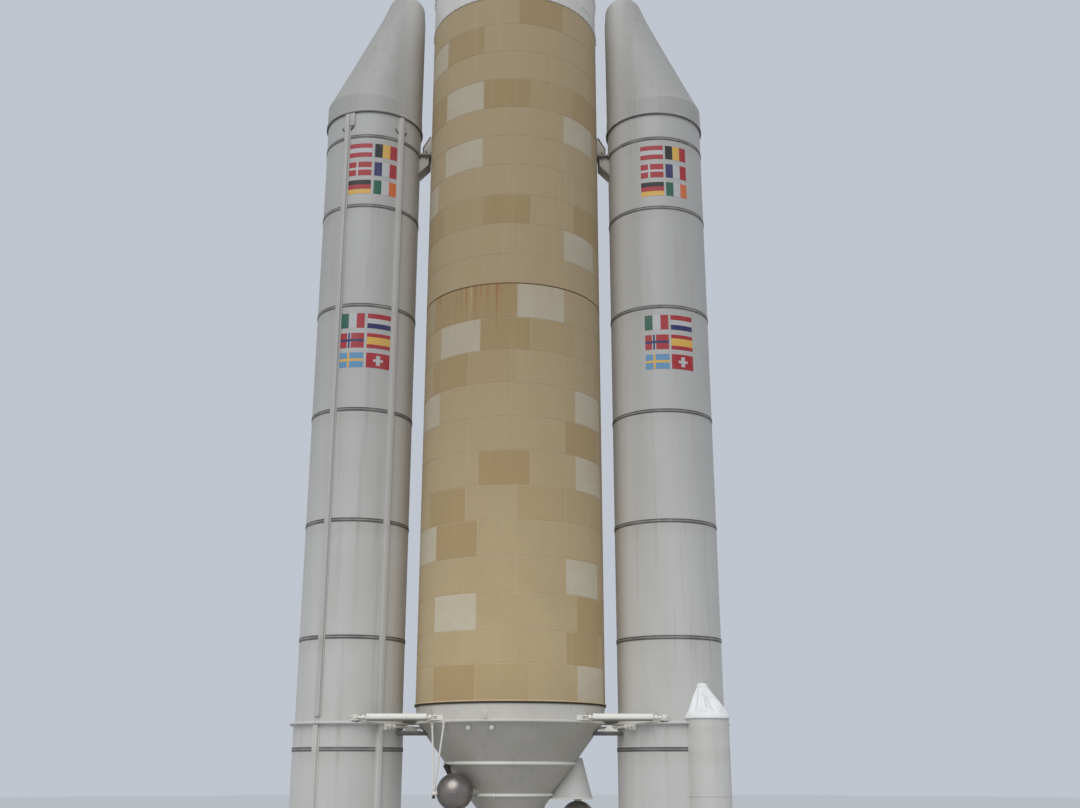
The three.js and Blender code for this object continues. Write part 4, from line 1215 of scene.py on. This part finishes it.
def payload_carrier():
    """The drum under the fairing, with two joint rings, louvred vents and small doors."""
    r = CORE_RADIUS
    ground = r - 0.002
    outline = [
        (r - 0.03, BAY_TOP + 0.001),
        (r + 0.015, BAY_TOP + 0.012),
        (r + 0.015, BAY_TOP + 0.07),
        (ground, BAY_TOP + 0.09),
    ]
    for height in (33.3, 34.65):
        outline += [
            (ground, height - 0.05),
            (r + 0.01, height - 0.035),
            (r + 0.01, height + 0.035),
            (ground, height + 0.05),
        ]
    outline += [
        (ground, CARRIER_TOP - 0.13),
        (r + 0.02, CARRIER_TOP - 0.11),
        (r + 0.02, CARRIER_TOP - 0.02),
        (r - 0.03, CARRIER_TOP - 0.001),
    ]
    shell = turned("payload_carrier_shell", outline, sides=CORE_SIDES)
    vent = block((0.34, 0.05, 0.2), (0, -r - 0.005, 34.0), 0.015)
    louvres = [block((0.26, 0.03, 0.018), (0, -r - 0.03, 33.94 + 0.03 * i), 0.004) for i in range(5)]
    vents = array_round(joined("vent", [vent, *louvres]), range(30, 360, 60))
    doors = [curved_plate(r - 0.01, 0.022, 32.5, 33.05, angle - 6, angle + 6, steps=6, edge=0.01)
             for angle in (-60, 0, 75, 180)]
    bolts = flange_bolts(CARRIER_TOP - 0.065)
    carrier = joined("payload_carrier_shell", [shell, *vents, *doors, *bolts])
    finish(carrier, COMPOSITE_WHITE, stands_for=["payload_carrier"])


def fairing_outline():
    """The fairing's outside: a drum, a pointed arch and a round tip."""
    tip = 0.55
    rise = OVERALL_HEIGHT - OGIVE_BOTTOM - tip
    arch = (rise**2 + CORE_RADIUS**2 - tip**2) / (2 * (CORE_RADIUS - tip))
    centre = CORE_RADIUS - arch
    meeting = math.degrees(math.atan2(rise, -centre))
    r = CORE_RADIUS
    outline = [(r - 0.03, CARRIER_TOP + 0.001), (r, CARRIER_TOP + 0.02)]
    for height in (39.2, 42.4):
        strip = ((0, -0.06), (0.012, -0.04), (0.012, 0.04), (0, 0.06))
        outline += [(r + out, height + up) for out, up in strip]
    for radius, height in arc(arch, OGIVE_BOTTOM, 0, meeting, 28):
        outline.append((radius + centre, height))
    for radius, height in arc(tip, OGIVE_BOTTOM + rise, meeting, 90, 8)[1:]:
        outline.append((radius, height))
    outline[-1] = (0, OVERALL_HEIGHT)
    return outline


def fairing():
    """The fairing, parted front from back."""
    whole = turned("fairing", fairing_outline(), sides=CORE_SIDES)
    joint = 0.0004
    for name, side in (("front", -1), ("back", 1)):
        half = named(copied(whole), f"fairing_{name}_shell")
        with editing(half):
            bpy.ops.mesh.bisect(
                plane_co=(0, side * joint, 0), plane_no=(0, -side, 0),
                use_fill=True, clear_outer=True, threshold=1e-5,
            )
        nodes = [f"fairing_half_{name}"]
        finish(settled(half), COMPOSITE_WHITE, stands_for=nodes, angle=25)
    bpy.data.objects.remove(whole)


# Fittings between the forward ends of the boosters and the core

CORE_WEB = [(2.72, 26.14), (3.04, 26.14), (3.04, 26.4), (2.82, 26.79), (2.72, 26.8)]
CORE_SLOPE = [(3.0, 26.14), (3.04, 26.14), (3.04, 26.4), (2.81, 26.82), (2.76, 26.8), (3.0, 26.38)]
BOOSTER_WEB = [(3.22, 26.07), (2.8, 26.07), (2.8, 25.75), (3.12, 25.42), (3.22, 25.42)]
BOOSTER_SLOPE = [(2.84, 26.07), (2.8, 26.07), (2.8, 25.75), (3.14, 25.4), (3.16, 25.44), (2.84, 25.77)]
BAR_HEIGHT = 26.11
BAR_FRONT = -0.285


def web(outline, side, y, thickness):
    """A plate that stands along X, cut to an outline of [distance from the axis, height] points."""
    bpy.ops.object.select_all(action="DESELECT")
    bpy.ops.mesh.primitive_circle_add(vertices=len(outline), radius=1, fill_type="NGON")
    piece = bpy.context.object
    for vertex, (x, z) in zip(piece.data.vertices, outline):
        vertex.co = Vector((side * x, y - thickness / 2, z)) * SCALE
    with editing(piece):
        bpy.ops.mesh.extrude_region_move(TRANSFORM_OT_translate={"value": (0, thickness * SCALE, 0)})
    return rounded(settled(piece), 0.008)


def webbed(web_outline, slope_outline, side):
    """Three webs of a bracket and the sloping plate that closes them."""
    webs = [web(web_outline, side, y, 0.05) for y in (-0.215, 0, 0.215)]
    return [*webs, web(slope_outline, side, 0, 0.48)]


def front_fittings():
    """Where the boosters push on the core: a bracket on each side of a bolted bar."""
    for place, side in (("left", -1), ("right", 1)):
        upper = webbed(CORE_WEB, CORE_SLOPE, side)
        foot = block((0.31, 0.5, 0.05), (side * 2.885, 0, 26.158), 0.012)
        bolts = [bolt(0.028, (side * x, y, 26.182), (0, 0, 1)) for x in (2.86, 2.95) for y in (-0.11, 0.11)]
        core = joined(f"front_fitting_core_bracket_{place}", [*upper, foot, *bolts])
        finish(core, GREY, stands_for=[f"front_fitting_core_{place}"])
        lower = webbed(BOOSTER_WEB, BOOSTER_SLOPE, side)
        head = block((0.38, 0.5, 0.05), (side * 2.98, 0, 26.07), 0.012)
        booster = joined(f"front_fitting_booster_bracket_{place}", [*lower, head])
        finish(booster, GREY, stands_for=[f"front_fitting_booster_{place}"])
        y, z = BAR_FRONT, BAR_HEIGHT
        bar = rod((side * 3.16, y, z), (side * 2.72, y, z), 0.035)
        nuts = [rod((side * x, y, z), (side * (x + 0.05), y, z), 0.075, sides=6)
                for x in (2.76, 2.86, 2.99, 3.08)]
        stud = rod((side * 2.92, y, 26.0), (side * 2.92, y, 26.24), 0.026)
        ears = [block((0.05, 0.12, 0.16), (side * x, y + 0.015, z), 0.012) for x in (2.735, 3.13)]
        finish(joined(f"front_bolt_bar_{place}", [bar, *nuts, stud, *ears]), STEEL)


# Struts between the aft ends of the boosters and the core

STRUT_CORE_END = (-2.08, -1.75)
STRUT_BOOSTER_END = (-4.3, -1.64)
STRUT_NAMES = {(1, 1): "front_left", (-1, 1): "front_right", (1, -1): "rear_left", (-1, -1): "rear_right"}
CLEVIS_HEIGHT = STRUT_HEIGHT - 0.02
DIAGONAL_HEIGHT = 7.765
LUG_FOOT = 7.665


def part_way(start, end, distance):
    """The point at that distance from one point towards another."""
    first, last = Vector(start), Vector(end)
    return first + (last - first).normalized() * distance


def aft_struts():
    """A white tube with a neck, a nut and a flat eye at each end, on all four corners."""
    start = (*STRUT_CORE_END, STRUT_HEIGHT)
    end = (*STRUT_BOOSTER_END, STRUT_HEIGHT)
    bare = {start: 0.22, end: 0.33}
    ends = []
    for near, far in ((start, end), (end, start)):
        neck, nut_foot, nut_top, cap_foot, cap_top = (
            part_way(near, far, bare[near] + step) for step in (0.02, -0.12, -0.05, 0, 0.06)
        )
        ends += [
            rod(near, neck, 0.034),
            rod(nut_foot, nut_top, 0.07, sides=8, edge=0.01),
            rod(cap_foot, cap_top, 0.105, sides=40, edge=0.008),
        ]
        eye = Vector((near[0], near[1], CLEVIS_HEIGHT))
        up = Vector((0, 0, 0.024))
        ends.append(rod(eye - up, eye + up, 0.075, edge=0.008))
    core_end = part_way(start, end, bare[start] + 0.01)
    booster_end = part_way(end, start, bare[end] + 0.01)
    body = rod(core_end, booster_end, 0.1, sides=40)
    strut = joined("strut", [body, *ends])
    for (side, face), name in STRUT_NAMES.items():
        one = copied(strut)
        one.data.transform(Matrix.Diagonal((side, face, 1, 1)))
        tube_piece = named(settled(one), f"aft_strut_{name}_tube")
        finish(tube_piece, STRUT_WHITE, stands_for=[f"aft_strut_{name}"])
    bpy.data.objects.remove(strut)


def clevis(place, towards, length, width):
    """Two plates that hold a strut's eye, with a pin through all three."""
    eye = Vector((*place, CLEVIS_HEIGHT))
    back = part_way(eye, (*towards, CLEVIS_HEIGHT), length)
    turn = math.degrees(math.atan2(back.y - eye.y, back.x - eye.x))
    parts = []
    middle = part_way(eye, back, length * 0.32)
    for side in (-1, 1):
        parts.append(block((length, width, 0.03), (*middle.xy, CLEVIS_HEIGHT + side * 0.05), 0.008, turn))
    heel = part_way(eye, back, length * 0.55)
    parts.append(block((length * 0.5, width * 0.96, 0.1), (*heel.xy, CLEVIS_HEIGHT), 0.008, turn))
    parts.append(rod((*place, CLEVIS_HEIGHT - 0.08), (*place, CLEVIS_HEIGHT + 0.08), 0.034, sides=16))
    parts.append(rod((*place, CLEVIS_HEIGHT + 0.06), (*place, CLEVIS_HEIGHT + 0.09), 0.05, sides=6))
    return parts


def strut_clevises():
    """The clevises that hold the struts, on the white ring and on the boosters' flanges."""
    core_parts, left_parts = [], []
    for face in (1, -1):
        core = (STRUT_CORE_END[0], STRUT_CORE_END[1] * face)
        booster = (STRUT_BOOSTER_END[0], STRUT_BOOSTER_END[1] * face)
        core_parts += clevis(core, (core[0] + 0.7, core[1] * 1.25), 0.42, 0.2)
        left_parts += clevis(booster, (booster[0] + 0.05, 0), 0.3, 0.2)
    ring_left = joined("ring_clevises_left", core_parts)
    finish(named(copied(ring_left, 180), "ring_clevises_right"), BRIGHT)
    finish(ring_left, BRIGHT)
    finish_pair(joined("flange_clevises_left", left_parts), BRIGHT)


def rod_lugs(end, axis, top, share):
    """Two lugs and a pin that hold a thin rod's end under a flange or ring. They stand at a share of the
    end's distance from the axis."""
    outward = Vector((end[0] - axis[0], end[1] - axis[1], 0)) * share
    sideways = Vector((-outward.y, outward.x, 0)).normalized()
    middle = Vector((*axis, (top + LUG_FOOT) / 2)) + outward
    turn = math.degrees(math.atan2(outward.y, outward.x))
    lugs = [block((0.15, 0.04, top - LUG_FOOT), middle + sideways * offset, 0.012, turn)
            for offset in (-0.058, 0.058)]
    pin = sideways * 0.095
    return [*lugs, rod(Vector(end) - pin, Vector(end) + pin, 0.025, sides=16)]


def diagonal_rods():
    """A thin rod under the struts on each side, between lugs on the booster and lugs on the core."""
    booster, core = (-3.417, -1.22, DIAGONAL_HEIGHT), (-2.385, 1.275, DIAGONAL_HEIGHT)
    for place, side in (("left", 1), ("right", -1)):
        parts = [rod(booster, core, 0.043)]
        for near, far in ((booster, core), (core, booster)):
            parts.append(rod(part_way(near, far, 0.05), part_way(near, far, 0.3), 0.06, sides=6))
            parts.append(rod(part_way(near, far, 0.28), part_way(near, far, 0.34), 0.07, sides=24, edge=0.01))
        lugs = rod_lugs(booster, LEFT_AXIS, FLANGE_BOTTOM, 0.97)
        lugs += rod_lugs(core, (0, 0), AFT_RING_BOTTOM + 0.02, 1)
        for name, bits, nodes in (
            (f"diagonal_rod_{place}_tube", parts, [f"diagonal_rod_{place}"]),
            (f"diagonal_lugs_{place}", lugs, []),
        ):
            piece = joined(name, bits)
            piece.data.transform(Matrix.Diagonal((side, 1, 1, 1)))
            finish(settled(piece), BRIGHT, stands_for=nodes)


# Thrust frame

UPPER_CONE = (1.88, 2.66)  # radius at the foot and the top
MIDDLE_CONE = (1.23, 1.86)


def aft_ring():
    """The white ring under the tank, with lap plates over its joints and a row of rivets."""
    outline = [
        (2.3, 7.84), (2.72, 7.84), (2.736, 7.852), (2.736, 7.885), (2.722, 7.9), (2.704, 7.908), (2.71, 8.0),
        (2.724, 8.13), (2.742, 8.24), (2.75, 8.3), (2.742, 8.326), (2.3, 8.326), (2.3, 7.84),
    ]
    band = turned("band", outline, sides=CORE_SIDES)
    lap = block((0.1, 0.02, 0.3), (0, -2.718, 8.07), 0.006)
    laps = array_round(lap, (-74, -14, 46, 106, 166, 226))
    rivets = array_round(bolt(0.013, (0, -2.736, 7.868)), range(0, 360, 4))
    ring = joined("aft_ring_band", [band, *laps, *rivets])
    finish(ring, RING_WHITE, stands_for=["aft_ring"])


def cone_radius(height):
    """The radius of the thrust frame's cones at a height."""
    if height > UPPER_HOOP:
        foot, top = UPPER_CONE
        return foot + (top - foot) * (height - UPPER_HOOP) / (AFT_RING_BOTTOM - UPPER_HOOP)
    foot, top = MIDDLE_CONE
    return foot + (top - foot) * (height - LOWER_HOOP) / (UPPER_HOOP - HOOP_HEIGHT - LOWER_HOOP)


def on_cone(angle, height, out):
    """A point that stands out from the cones' surface."""
    radius = cone_radius(height) + out
    return (radius * math.sin(math.radians(angle)), -radius * math.cos(math.radians(angle)), height)


def cone_shell(name, bottom, rise):
    steps = 6
    heights = [bottom + rise * step / steps for step in range(steps + 1)]
    return turned(name, [(cone_radius(height), height) for height in heights], sides=CORE_SIDES)


def thrust_cones():
    """The two upper cones of the thrust frame, the bead at the foot of each, and knobs on the first."""
    shell = cone_shell("thrust_cone_upper_shell", UPPER_HOOP + 0.001, AFT_RING_BOTTOM - UPPER_HOOP)
    knob_height = 7.69
    knobs = []
    for angle in (-25.5, -10.6, 154.5, 169.4):
        foot, shoulder, tip = (on_cone(angle, knob_height, out) for out in (-0.02, 0.05, 0.09))
        knobs += [rod(foot, tip, 0.035), rod(shoulder, tip, 0.058, edge=0.014)]
    finish(joined("cone_knobs", knobs), BRIGHT)
    finish(shell, GREY, stands_for=["thrust_cone_upper"])
    shell = cone_shell("thrust_cone_middle_shell", LOWER_HOOP, 0.79)
    finish(shell, GREY, stands_for=["thrust_cone_middle"])
    upper, lower = UPPER_HOOP - HOOP_HEIGHT / 2, LOWER_HOOP - HOOP_HEIGHT / 2
    beads = [hoop(1.874, upper, 0.046, sides=CORE_SIDES), hoop(1.228, lower, 0.042, sides=CORE_SIDES)]
    clamp = block((0.045, 0.1, 0.105), (0, -1.238, lower), 0.01)
    beads += array_round(clamp, (-20, 100, 220))
    finish(joined("thrust_frame_beads", beads), HOOP_GREY)


def engine_mount():
    """The last cone of the thrust frame, with a collar and the upper fork of the gimbal."""
    outline = [
        (0.4, 4.25), (0.42, 4.262), (0.42, 4.36), (0.45, 4.42), (0.705, 4.96), (0.96, 5.55), (1.21, 5.89),
        (1.21, 5.94),
    ]
    cone = turned("cone", outline, sides=96)
    collar = hoop(0.425, 4.31, 0.022, sides=72)
    bolts = array_round(bolt(0.022, (0, -0.43, 4.31)), range(15, 360, 30))
    rib = web([(0.4, 4.3), (0.46, 4.36), (1.0, 5.58), (0.96, 5.62)], 1, 0, 0.03)
    ribs = [rib, *(copied(rib, angle) for angle in range(30, 360, 60))]
    mount = joined("engine_mount_cone", [cone, collar, *bolts, *ribs, *fork_lugs("x", 4.27)])
    finish(mount, GREY, stands_for=["engine_mount"])


def fork_lugs(axis, height):
    """Two lugs that hold a pin of the gimbal, reaching from the pin to a height."""
    inner, outer, width = 0.2, 0.28, 0.24
    parts = []
    for side in (-1, 1):
        middle = side * (inner + outer) / 2
        tall = abs(height - GIMBAL_HEIGHT)
        low = min(height, GIMBAL_HEIGHT)
        size = (outer - inner, width, tall) if axis == "x" else (width, outer - inner, tall)
        spot = (middle, 0) if axis == "x" else (0, middle)
        parts.append(block(size, (*spot, low + tall / 2), 0.012))
        start, end = (side * inner, 0, GIMBAL_HEIGHT), (side * outer, 0, GIMBAL_HEIGHT)
        if axis == "y":
            start, end = (0, side * inner, GIMBAL_HEIGHT), (0, side * outer, GIMBAL_HEIGHT)
        parts.append(rod(start, end, width / 2, sides=40, edge=0.008))
    return parts


def gimbal_cross():
    """The cross between the two forks, with a pin each way through its block."""
    core = block((0.34, 0.34, 0.18), (0, 0, GIMBAL_HEIGHT), 0.03, segments=3)
    reach = 0.3
    pins = []
    for axis in ((1, 0), (0, 1)):
        start = (-axis[0] * reach, -axis[1] * reach, GIMBAL_HEIGHT)
        end = (axis[0] * reach, axis[1] * reach, GIMBAL_HEIGHT)
        pins.append(rod(start, end, 0.054, edge=0.008))
    cross = joined("engine_gimbal_spider", [core, *pins])
    finish(cross, STEEL, "engine_cross", ["engine_gimbal_cross"])


# Main engine

# Points of [radius, height], from the foot up
BELL = [(0.88, 0.45), (0.83, 0.75), (0.75, 1.1), (0.62, 1.5), (0.43, 1.9), (0.26, 2.2), (0.17, 2.35)]
BELL_HOOPS = [
    (0.882, 0.48), (0.855, 0.62), (0.81, 0.87), (0.735, 1.16), (0.64, 1.45), (0.53, 1.7), (0.37, 2.02),
]
PUMP_PLACE = 0.55
PUMPS = [
    # name, side, radius, bottom, top
    ("hydrogen", 1, 0.18, 2.5, 3.14),
    ("oxygen", -1, 0.15, 2.56, 3.1),
]


def smooth_line(points, steps):
    """Points of a smooth curve that passes through these points."""
    line = []
    for index in range(len(points) - 1):
        before = points[max(index - 1, 0)]
        first, last = points[index], points[index + 1]
        after = points[min(index + 2, len(points) - 1)]
        for step in range(steps):
            t = step / steps
            line.append(tuple(
                0.5 * (2 * b + (c - a) * t + (2 * a - 5 * b + 4 * c - d) * t**2
                       + (3 * b - a - 3 * c + d) * t**3)
                for a, b, c, d in zip(before, first, last, after)
            ))
    return [*line, points[-1]]


def engine_bell():
    """A bell of many thin tubes, with stiffening hoops and a collector round its throat."""
    wall = 0.04
    outside = smooth_line(BELL, 4)
    inside = [(radius - wall, height) for radius, height in reversed(outside)]
    tubes = 96
    bell = turned("bell", [*outside, *inside, outside[0]], sides=tubes * 2)
    flute = 0.008
    for vertex in bell.data.vertices:
        number = round(math.atan2(vertex.co.y, vertex.co.x) / (2 * math.pi) * tubes * 2)
        if number % 2:
            vertex.co.x *= 1 - flute
            vertex.co.y *= 1 - flute
    hoops = [hoop(radius + 0.006, height, 0.018, sides=96) for radius, height in BELL_HOOPS]
    collector = hoop(0.25, 2.24, 0.045, sides=64)
    piece = joined("engine_bell_tubes", [bell, *hoops, collector])
    finish(piece, ENGINE, "engine", ["engine_bell"], angle=40)


def engine_chamber():
    """The chamber over the bell, with a bolted head and the lower fork of the gimbal."""
    outline = [
        (0.17, 2.355), (0.165, 2.42), (0.16, 2.5), (0.185, 2.6), (0.225, 2.7), (0.25, 2.8), (0.262, 2.95),
        (0.27, 3.1), (0.3, 3.12), (0.34, 3.18), (0.34, 3.27), (0.325, 3.28),
    ]
    body = turned("chamber", outline, sides=64)
    rings = [hoop(0.275, 3.07, 0.02, sides=64), hoop(0.26, 2.82, 0.016, sides=64)]
    bolts = array_round(bolt(0.016, (0, -0.34, 3.225)), range(0, 360, 15))
    chamber = joined("engine_chamber_body", [body, *rings, *bolts, *fork_lugs("y", 3.27)])
    finish(chamber, ENGINE, "engine", ["engine_chamber"])


def turbopumps():
    """A pump on each side of the chamber, with an exhaust pipe that runs down beside the bell."""
    for name, side, radius, bottom, top in PUMPS:
        lower = ((0.58, 0), (0.6, 0.015), (0.75, 0.11), (0.86, 0.14), (0.97, 0.17), (1, 0.22))
        upper = ((1, -0.16), (0.96, -0.13), (0.76, -0.05), (0.7, 0))
        outline = [(radius * share, bottom + rise) for share, rise in lower]
        outline += [(radius * share, top + rise) for share, rise in upper]
        spot = (side * PUMP_PLACE, 0)
        body = turned("pump", outline, spot, 48)
        flanges = [hoop(radius * 1.01, height, 0.014, spot, 48) for height in (bottom + 0.25, top - 0.2)]
        bolts = array_round(bolt(0.012, (spot[0], -radius, bottom + 0.34)), range(0, 360, 45), spot)
        inlet = rod((side * 0.24, 0, 2.99), (side * PUMP_PLACE, 0, 2.9), 0.06, sides=32)
        joint = rod((side * 0.33, 0, 2.965), (side * 0.36, 0, 2.957), 0.085, sides=32, edge=0.006)
        pump = joined(f"{name}_turbopump_body", [body, *flanges, *bolts, inlet, joint])
        finish(pump, ENGINE, "engine", [f"{name}_turbopump"])
        route = [
            (PUMP_PLACE, bottom - 0.003), (PUMP_PLACE, bottom - 0.08), (PUMP_PLACE + 0.02, 2.3),
            (0.68, 1.9), (0.84, 1.45), (0.97, 0.95), (1.02, 0.7), (1.03, 0.6),
        ]
        pipe = tube([(side * x, 0, z) for x, z in route], 0.082, 32)
        joints = []
        for x, z, shift in ((PUMP_PLACE, bottom - 0.03, 0), (0.755, 1.69, 0.014)):
            joint_foot = (side * (x + shift), 0, z - 0.035)
            joints.append(rod((side * x, 0, z), joint_foot, 0.1, sides=32, edge=0.006))
        run = joined(f"{name}_exhaust_pipe_run", [pipe, *joints])
        finish(run, STEEL, "engine", [f"{name}_exhaust_pipe"])


# Helium spheres

SPHERE_RADIUS = 0.505
LEFT_SPHERE = (-1.51, -1.35, 6.01)
RIGHT_SPHERE = (1.94, 0, 5.245)
HANGER_FOOT = (-2.08, -1.45, 5.97)


def sphere(name, centre):
    """A welded sphere with a bead round its middle and a boss at the top and foot."""
    bpy.ops.object.select_all(action="DESELECT")
    bpy.ops.mesh.primitive_uv_sphere_add(
        segments=80, ring_count=48, radius=SPHERE_RADIUS * SCALE, location=[v * SCALE for v in centre]
    )
    shell = settled(bpy.context.object)
    x, y, z = centre
    bead = hoop(SPHERE_RADIUS, z, 0.008, (x, y), 80)
    below, above = (x, y, z - SPHERE_RADIUS), (x, y, z + SPHERE_RADIUS)
    boss = rod(part_way(below, above, -0.02), part_way(above, below, -0.02), 0.05, edge=0.008)
    collar = rod(part_way(below, above, -0.005), part_way(above, below, -0.005), 0.09)
    piece = joined(name, [shell, bead, boss, collar])
    finish(piece, SPHERE, stands_for=[name.replace("_tank", "")])


def sphere_supports():
    """The two thin rods that hold the left sphere, the bracket at their foot, its pin, and the arm."""
    foot = Vector(HANGER_FOOT)
    parts = []
    for top in (Vector((-2.15, -1.65, 7.838)), Vector((-1.8, -2.03, 7.838))):
        parts += [
            rod(foot, top, 0.026),
            rod(part_way(foot, top, 0.1), part_way(foot, top, 0.2), 0.036, sides=6),
            rod(part_way(top, foot, 0.04), part_way(top, foot, 0.14), 0.036, sides=6),
            block((0.1, 0.1, 0.03), (top.x, top.y, 7.824), 0.008, 40),
        ]
    bracket = Vector(LEFT_SPHERE) - foot
    way = bracket.normalized()
    reach = bracket.length - SPHERE_RADIUS
    parts.append(rod(foot - way * 0.05, foot + way * (reach + 0.06), 0.05, edge=0.01))
    parts.append(rod(foot + way * (reach - 0.02), foot + way * (reach + 0.04), 0.075, sides=24, edge=0.01))
    finish(joined("sphere_hanger_left_rods", parts), BRIGHT, stands_for=["sphere_hanger_left"])
    pin = [rod(foot + Vector((0, 0, -0.12)), foot + Vector((0, 0, 0.05)), 0.032, edge=0.008),
           rod(foot + Vector((0, 0, -0.13)), foot + Vector((0, 0, -0.085)), 0.055, sides=6)]
    finish(joined("sphere_hanger_left_pin", pin), DARK_STEEL)
    x, y, z = LEFT_SPHERE
    way = Vector((x, y, 0)).normalized()
    start = way * (cone_radius(z) - 0.03) + Vector((0, 0, z))
    end = way * (Vector((x, y)).length - SPHERE_RADIUS + 0.02) + Vector((0, 0, z))
    arm = [rod(start, end, 0.088, sides=32), rod(start, start + way * 0.07, 0.14, sides=32, edge=0.01)]
    finish(joined("sphere_arm_left_tube", arm), GREY, stands_for=["sphere_arm_left"])


def sphere_hood():
    """The hood over the right sphere: a leaning cone of sheet with a flange, let in to the thrust frame."""
    place = (1.72, 0)
    bottom, top, lean = 5.82, 6.92, 0.2
    outer = [(0.645, bottom - 0.02), (0.645, bottom + 0.02), (0.63, bottom + 0.03)]
    steps = 5
    for step in range(1, steps + 1):
        share = step / steps
        outer.append((0.63 - 0.47 * share, bottom + 0.03 + (top - bottom - 0.04) * share, lean * share))
    outer.append((0.12, top, lean))
    shell = turned("hood", outer, place, 72)
    neck = rod((RIGHT_SPHERE[0], 0, bottom), (RIGHT_SPHERE[0], 0, RIGHT_SPHERE[2] + 0.49), 0.1, sides=32)
    body = painted(joined("body", [shell, neck]), HOOD_GREY)
    rim = painted(hoop(0.643, bottom + 0.002, 0.022, place, 72), HOOP_GREY)
    hood = joined("sphere_hood_right_shell", [body, rim])
    finish(hood, [HOOD_GREY, HOOP_GREY], stands_for=["sphere_hood_right"])


def sphere_gusset():
    """A bracket between the left sphere and the cone above it, painted dark as painted shade."""
    # Painted shade: the bracket is painted dark.
    arm = rod((-1.8, -0.6, 6.7), (-1.62, -1.2, 6.38), 0.1, 0.07, sides=4, edge=0.012)
    finish(named(arm, "sphere_gusset_left"), DARK_STEEL)


def cable_covers():
    """A humped cover over the cables that cross from each booster to the core, on a dark tray. The left cover
    is painted a darker grey as painted shade.
    """
    hump = [
        (2.53, 7.63), (3.1, 7.63), (3.1, 7.65), (3.02, 7.668), (2.95, 7.715), (2.9, 7.77), (2.86, 7.785),
        (2.79, 7.785), (2.74, 7.74), (2.66, 7.675), (2.6, 7.656), (2.53, 7.65),
    ]
    # The left cover gets the darker grey as painted shade; the right one is white.
    for place, side, paint in (("left", -1, SHADE_GREY), ("right", 1, BRIGHT)):
        lid = web(hump, side, -0.5, 0.4)
        finish(named(lid, f"cable_cover_{place}"), paint, angle=50)
        tray = block((0.9, 0.5, 0.1), (side * 2.75, -0.5, 7.583), 0.012)
        finish(named(tray, f"cable_tray_{place}"), BAND_DARK)


# The view, the light and the floor


def set_view():
    bpy.ops.object.camera_add(
        location=(0.147, -18.139, 3.313), rotation=(math.radians(106.8), 0, math.radians(-0.895))
    )
    camera = bpy.context.object
    camera.data.sensor_width = 36
    camera.data.lens = 40.247
    camera.data.clip_end = 500
    bpy.context.scene.camera = camera


def light():
    world = bpy.data.worlds.new("pale sky")
    bpy.context.scene.world = world
    world.use_nodes = True
    background = world.node_tree.nodes["Background"]
    background.inputs["Color"].default_value = colour(203, 209, 219)
    background.inputs["Strength"].default_value = 0.88
    bpy.ops.object.light_add(type="SUN", rotation=(math.radians(44), 0, math.radians(-16)))
    sun = bpy.context.object.data
    sun.energy = 1.45
    sun.angle = math.radians(50)
    bpy.context.scene.view_settings.view_transform = "Standard"


def floor():
    bpy.ops.object.select_all(action="DESELECT")
    bpy.ops.mesh.primitive_circle_add(vertices=96, radius=150, fill_type="NGON", location=(0, 0, 0))
    ground = named(bpy.context.object, "floor")
    ground.data.materials.append(pale_floor())


set_view()
light()
floor()
tank("tank_lower", "core_tank_lower", TANK_BOTTOM, TANK_SEAM, 1)
tank("tank_upper", "core_tank_upper", TANK_SEAM, TANK_TOP, 13)
tank_edges()
for section in (("aft_segment", FLANGE_TOP, AFT_JOINT), ("centre_segment", AFT_JOINT, FORWARD_JOINT),
                ("forward_segment", FORWARD_JOINT, NOSE_BOTTOM)):
    booster_segment(*section)
booster_bands()
nose()
cable_ducts()
duct_heads()
lower_casing()
aft_skirt()
booster_nozzle()
bearing()
pod()
flags("left", LEFT_AXIS, ((-21.8, 5.5), (8.8, 36.3)))
flags("right", (BOOSTER_OFFSET, 0), ((-23.3, 3.8), (6.5, 33.5)))
equipment_bay()
payload_carrier()
fairing()
front_fittings()
aft_struts()
strut_clevises()
diagonal_rods()
aft_ring()
thrust_cones()
engine_mount()
gimbal_cross()
engine_bell()
engine_chamber()
turbopumps()
sphere("helium_sphere_left_tank", LEFT_SPHERE)
sphere("helium_sphere_right_tank", RIGHT_SPHERE)
sphere_supports()
sphere_hood()
sphere_gusset()
cable_covers()
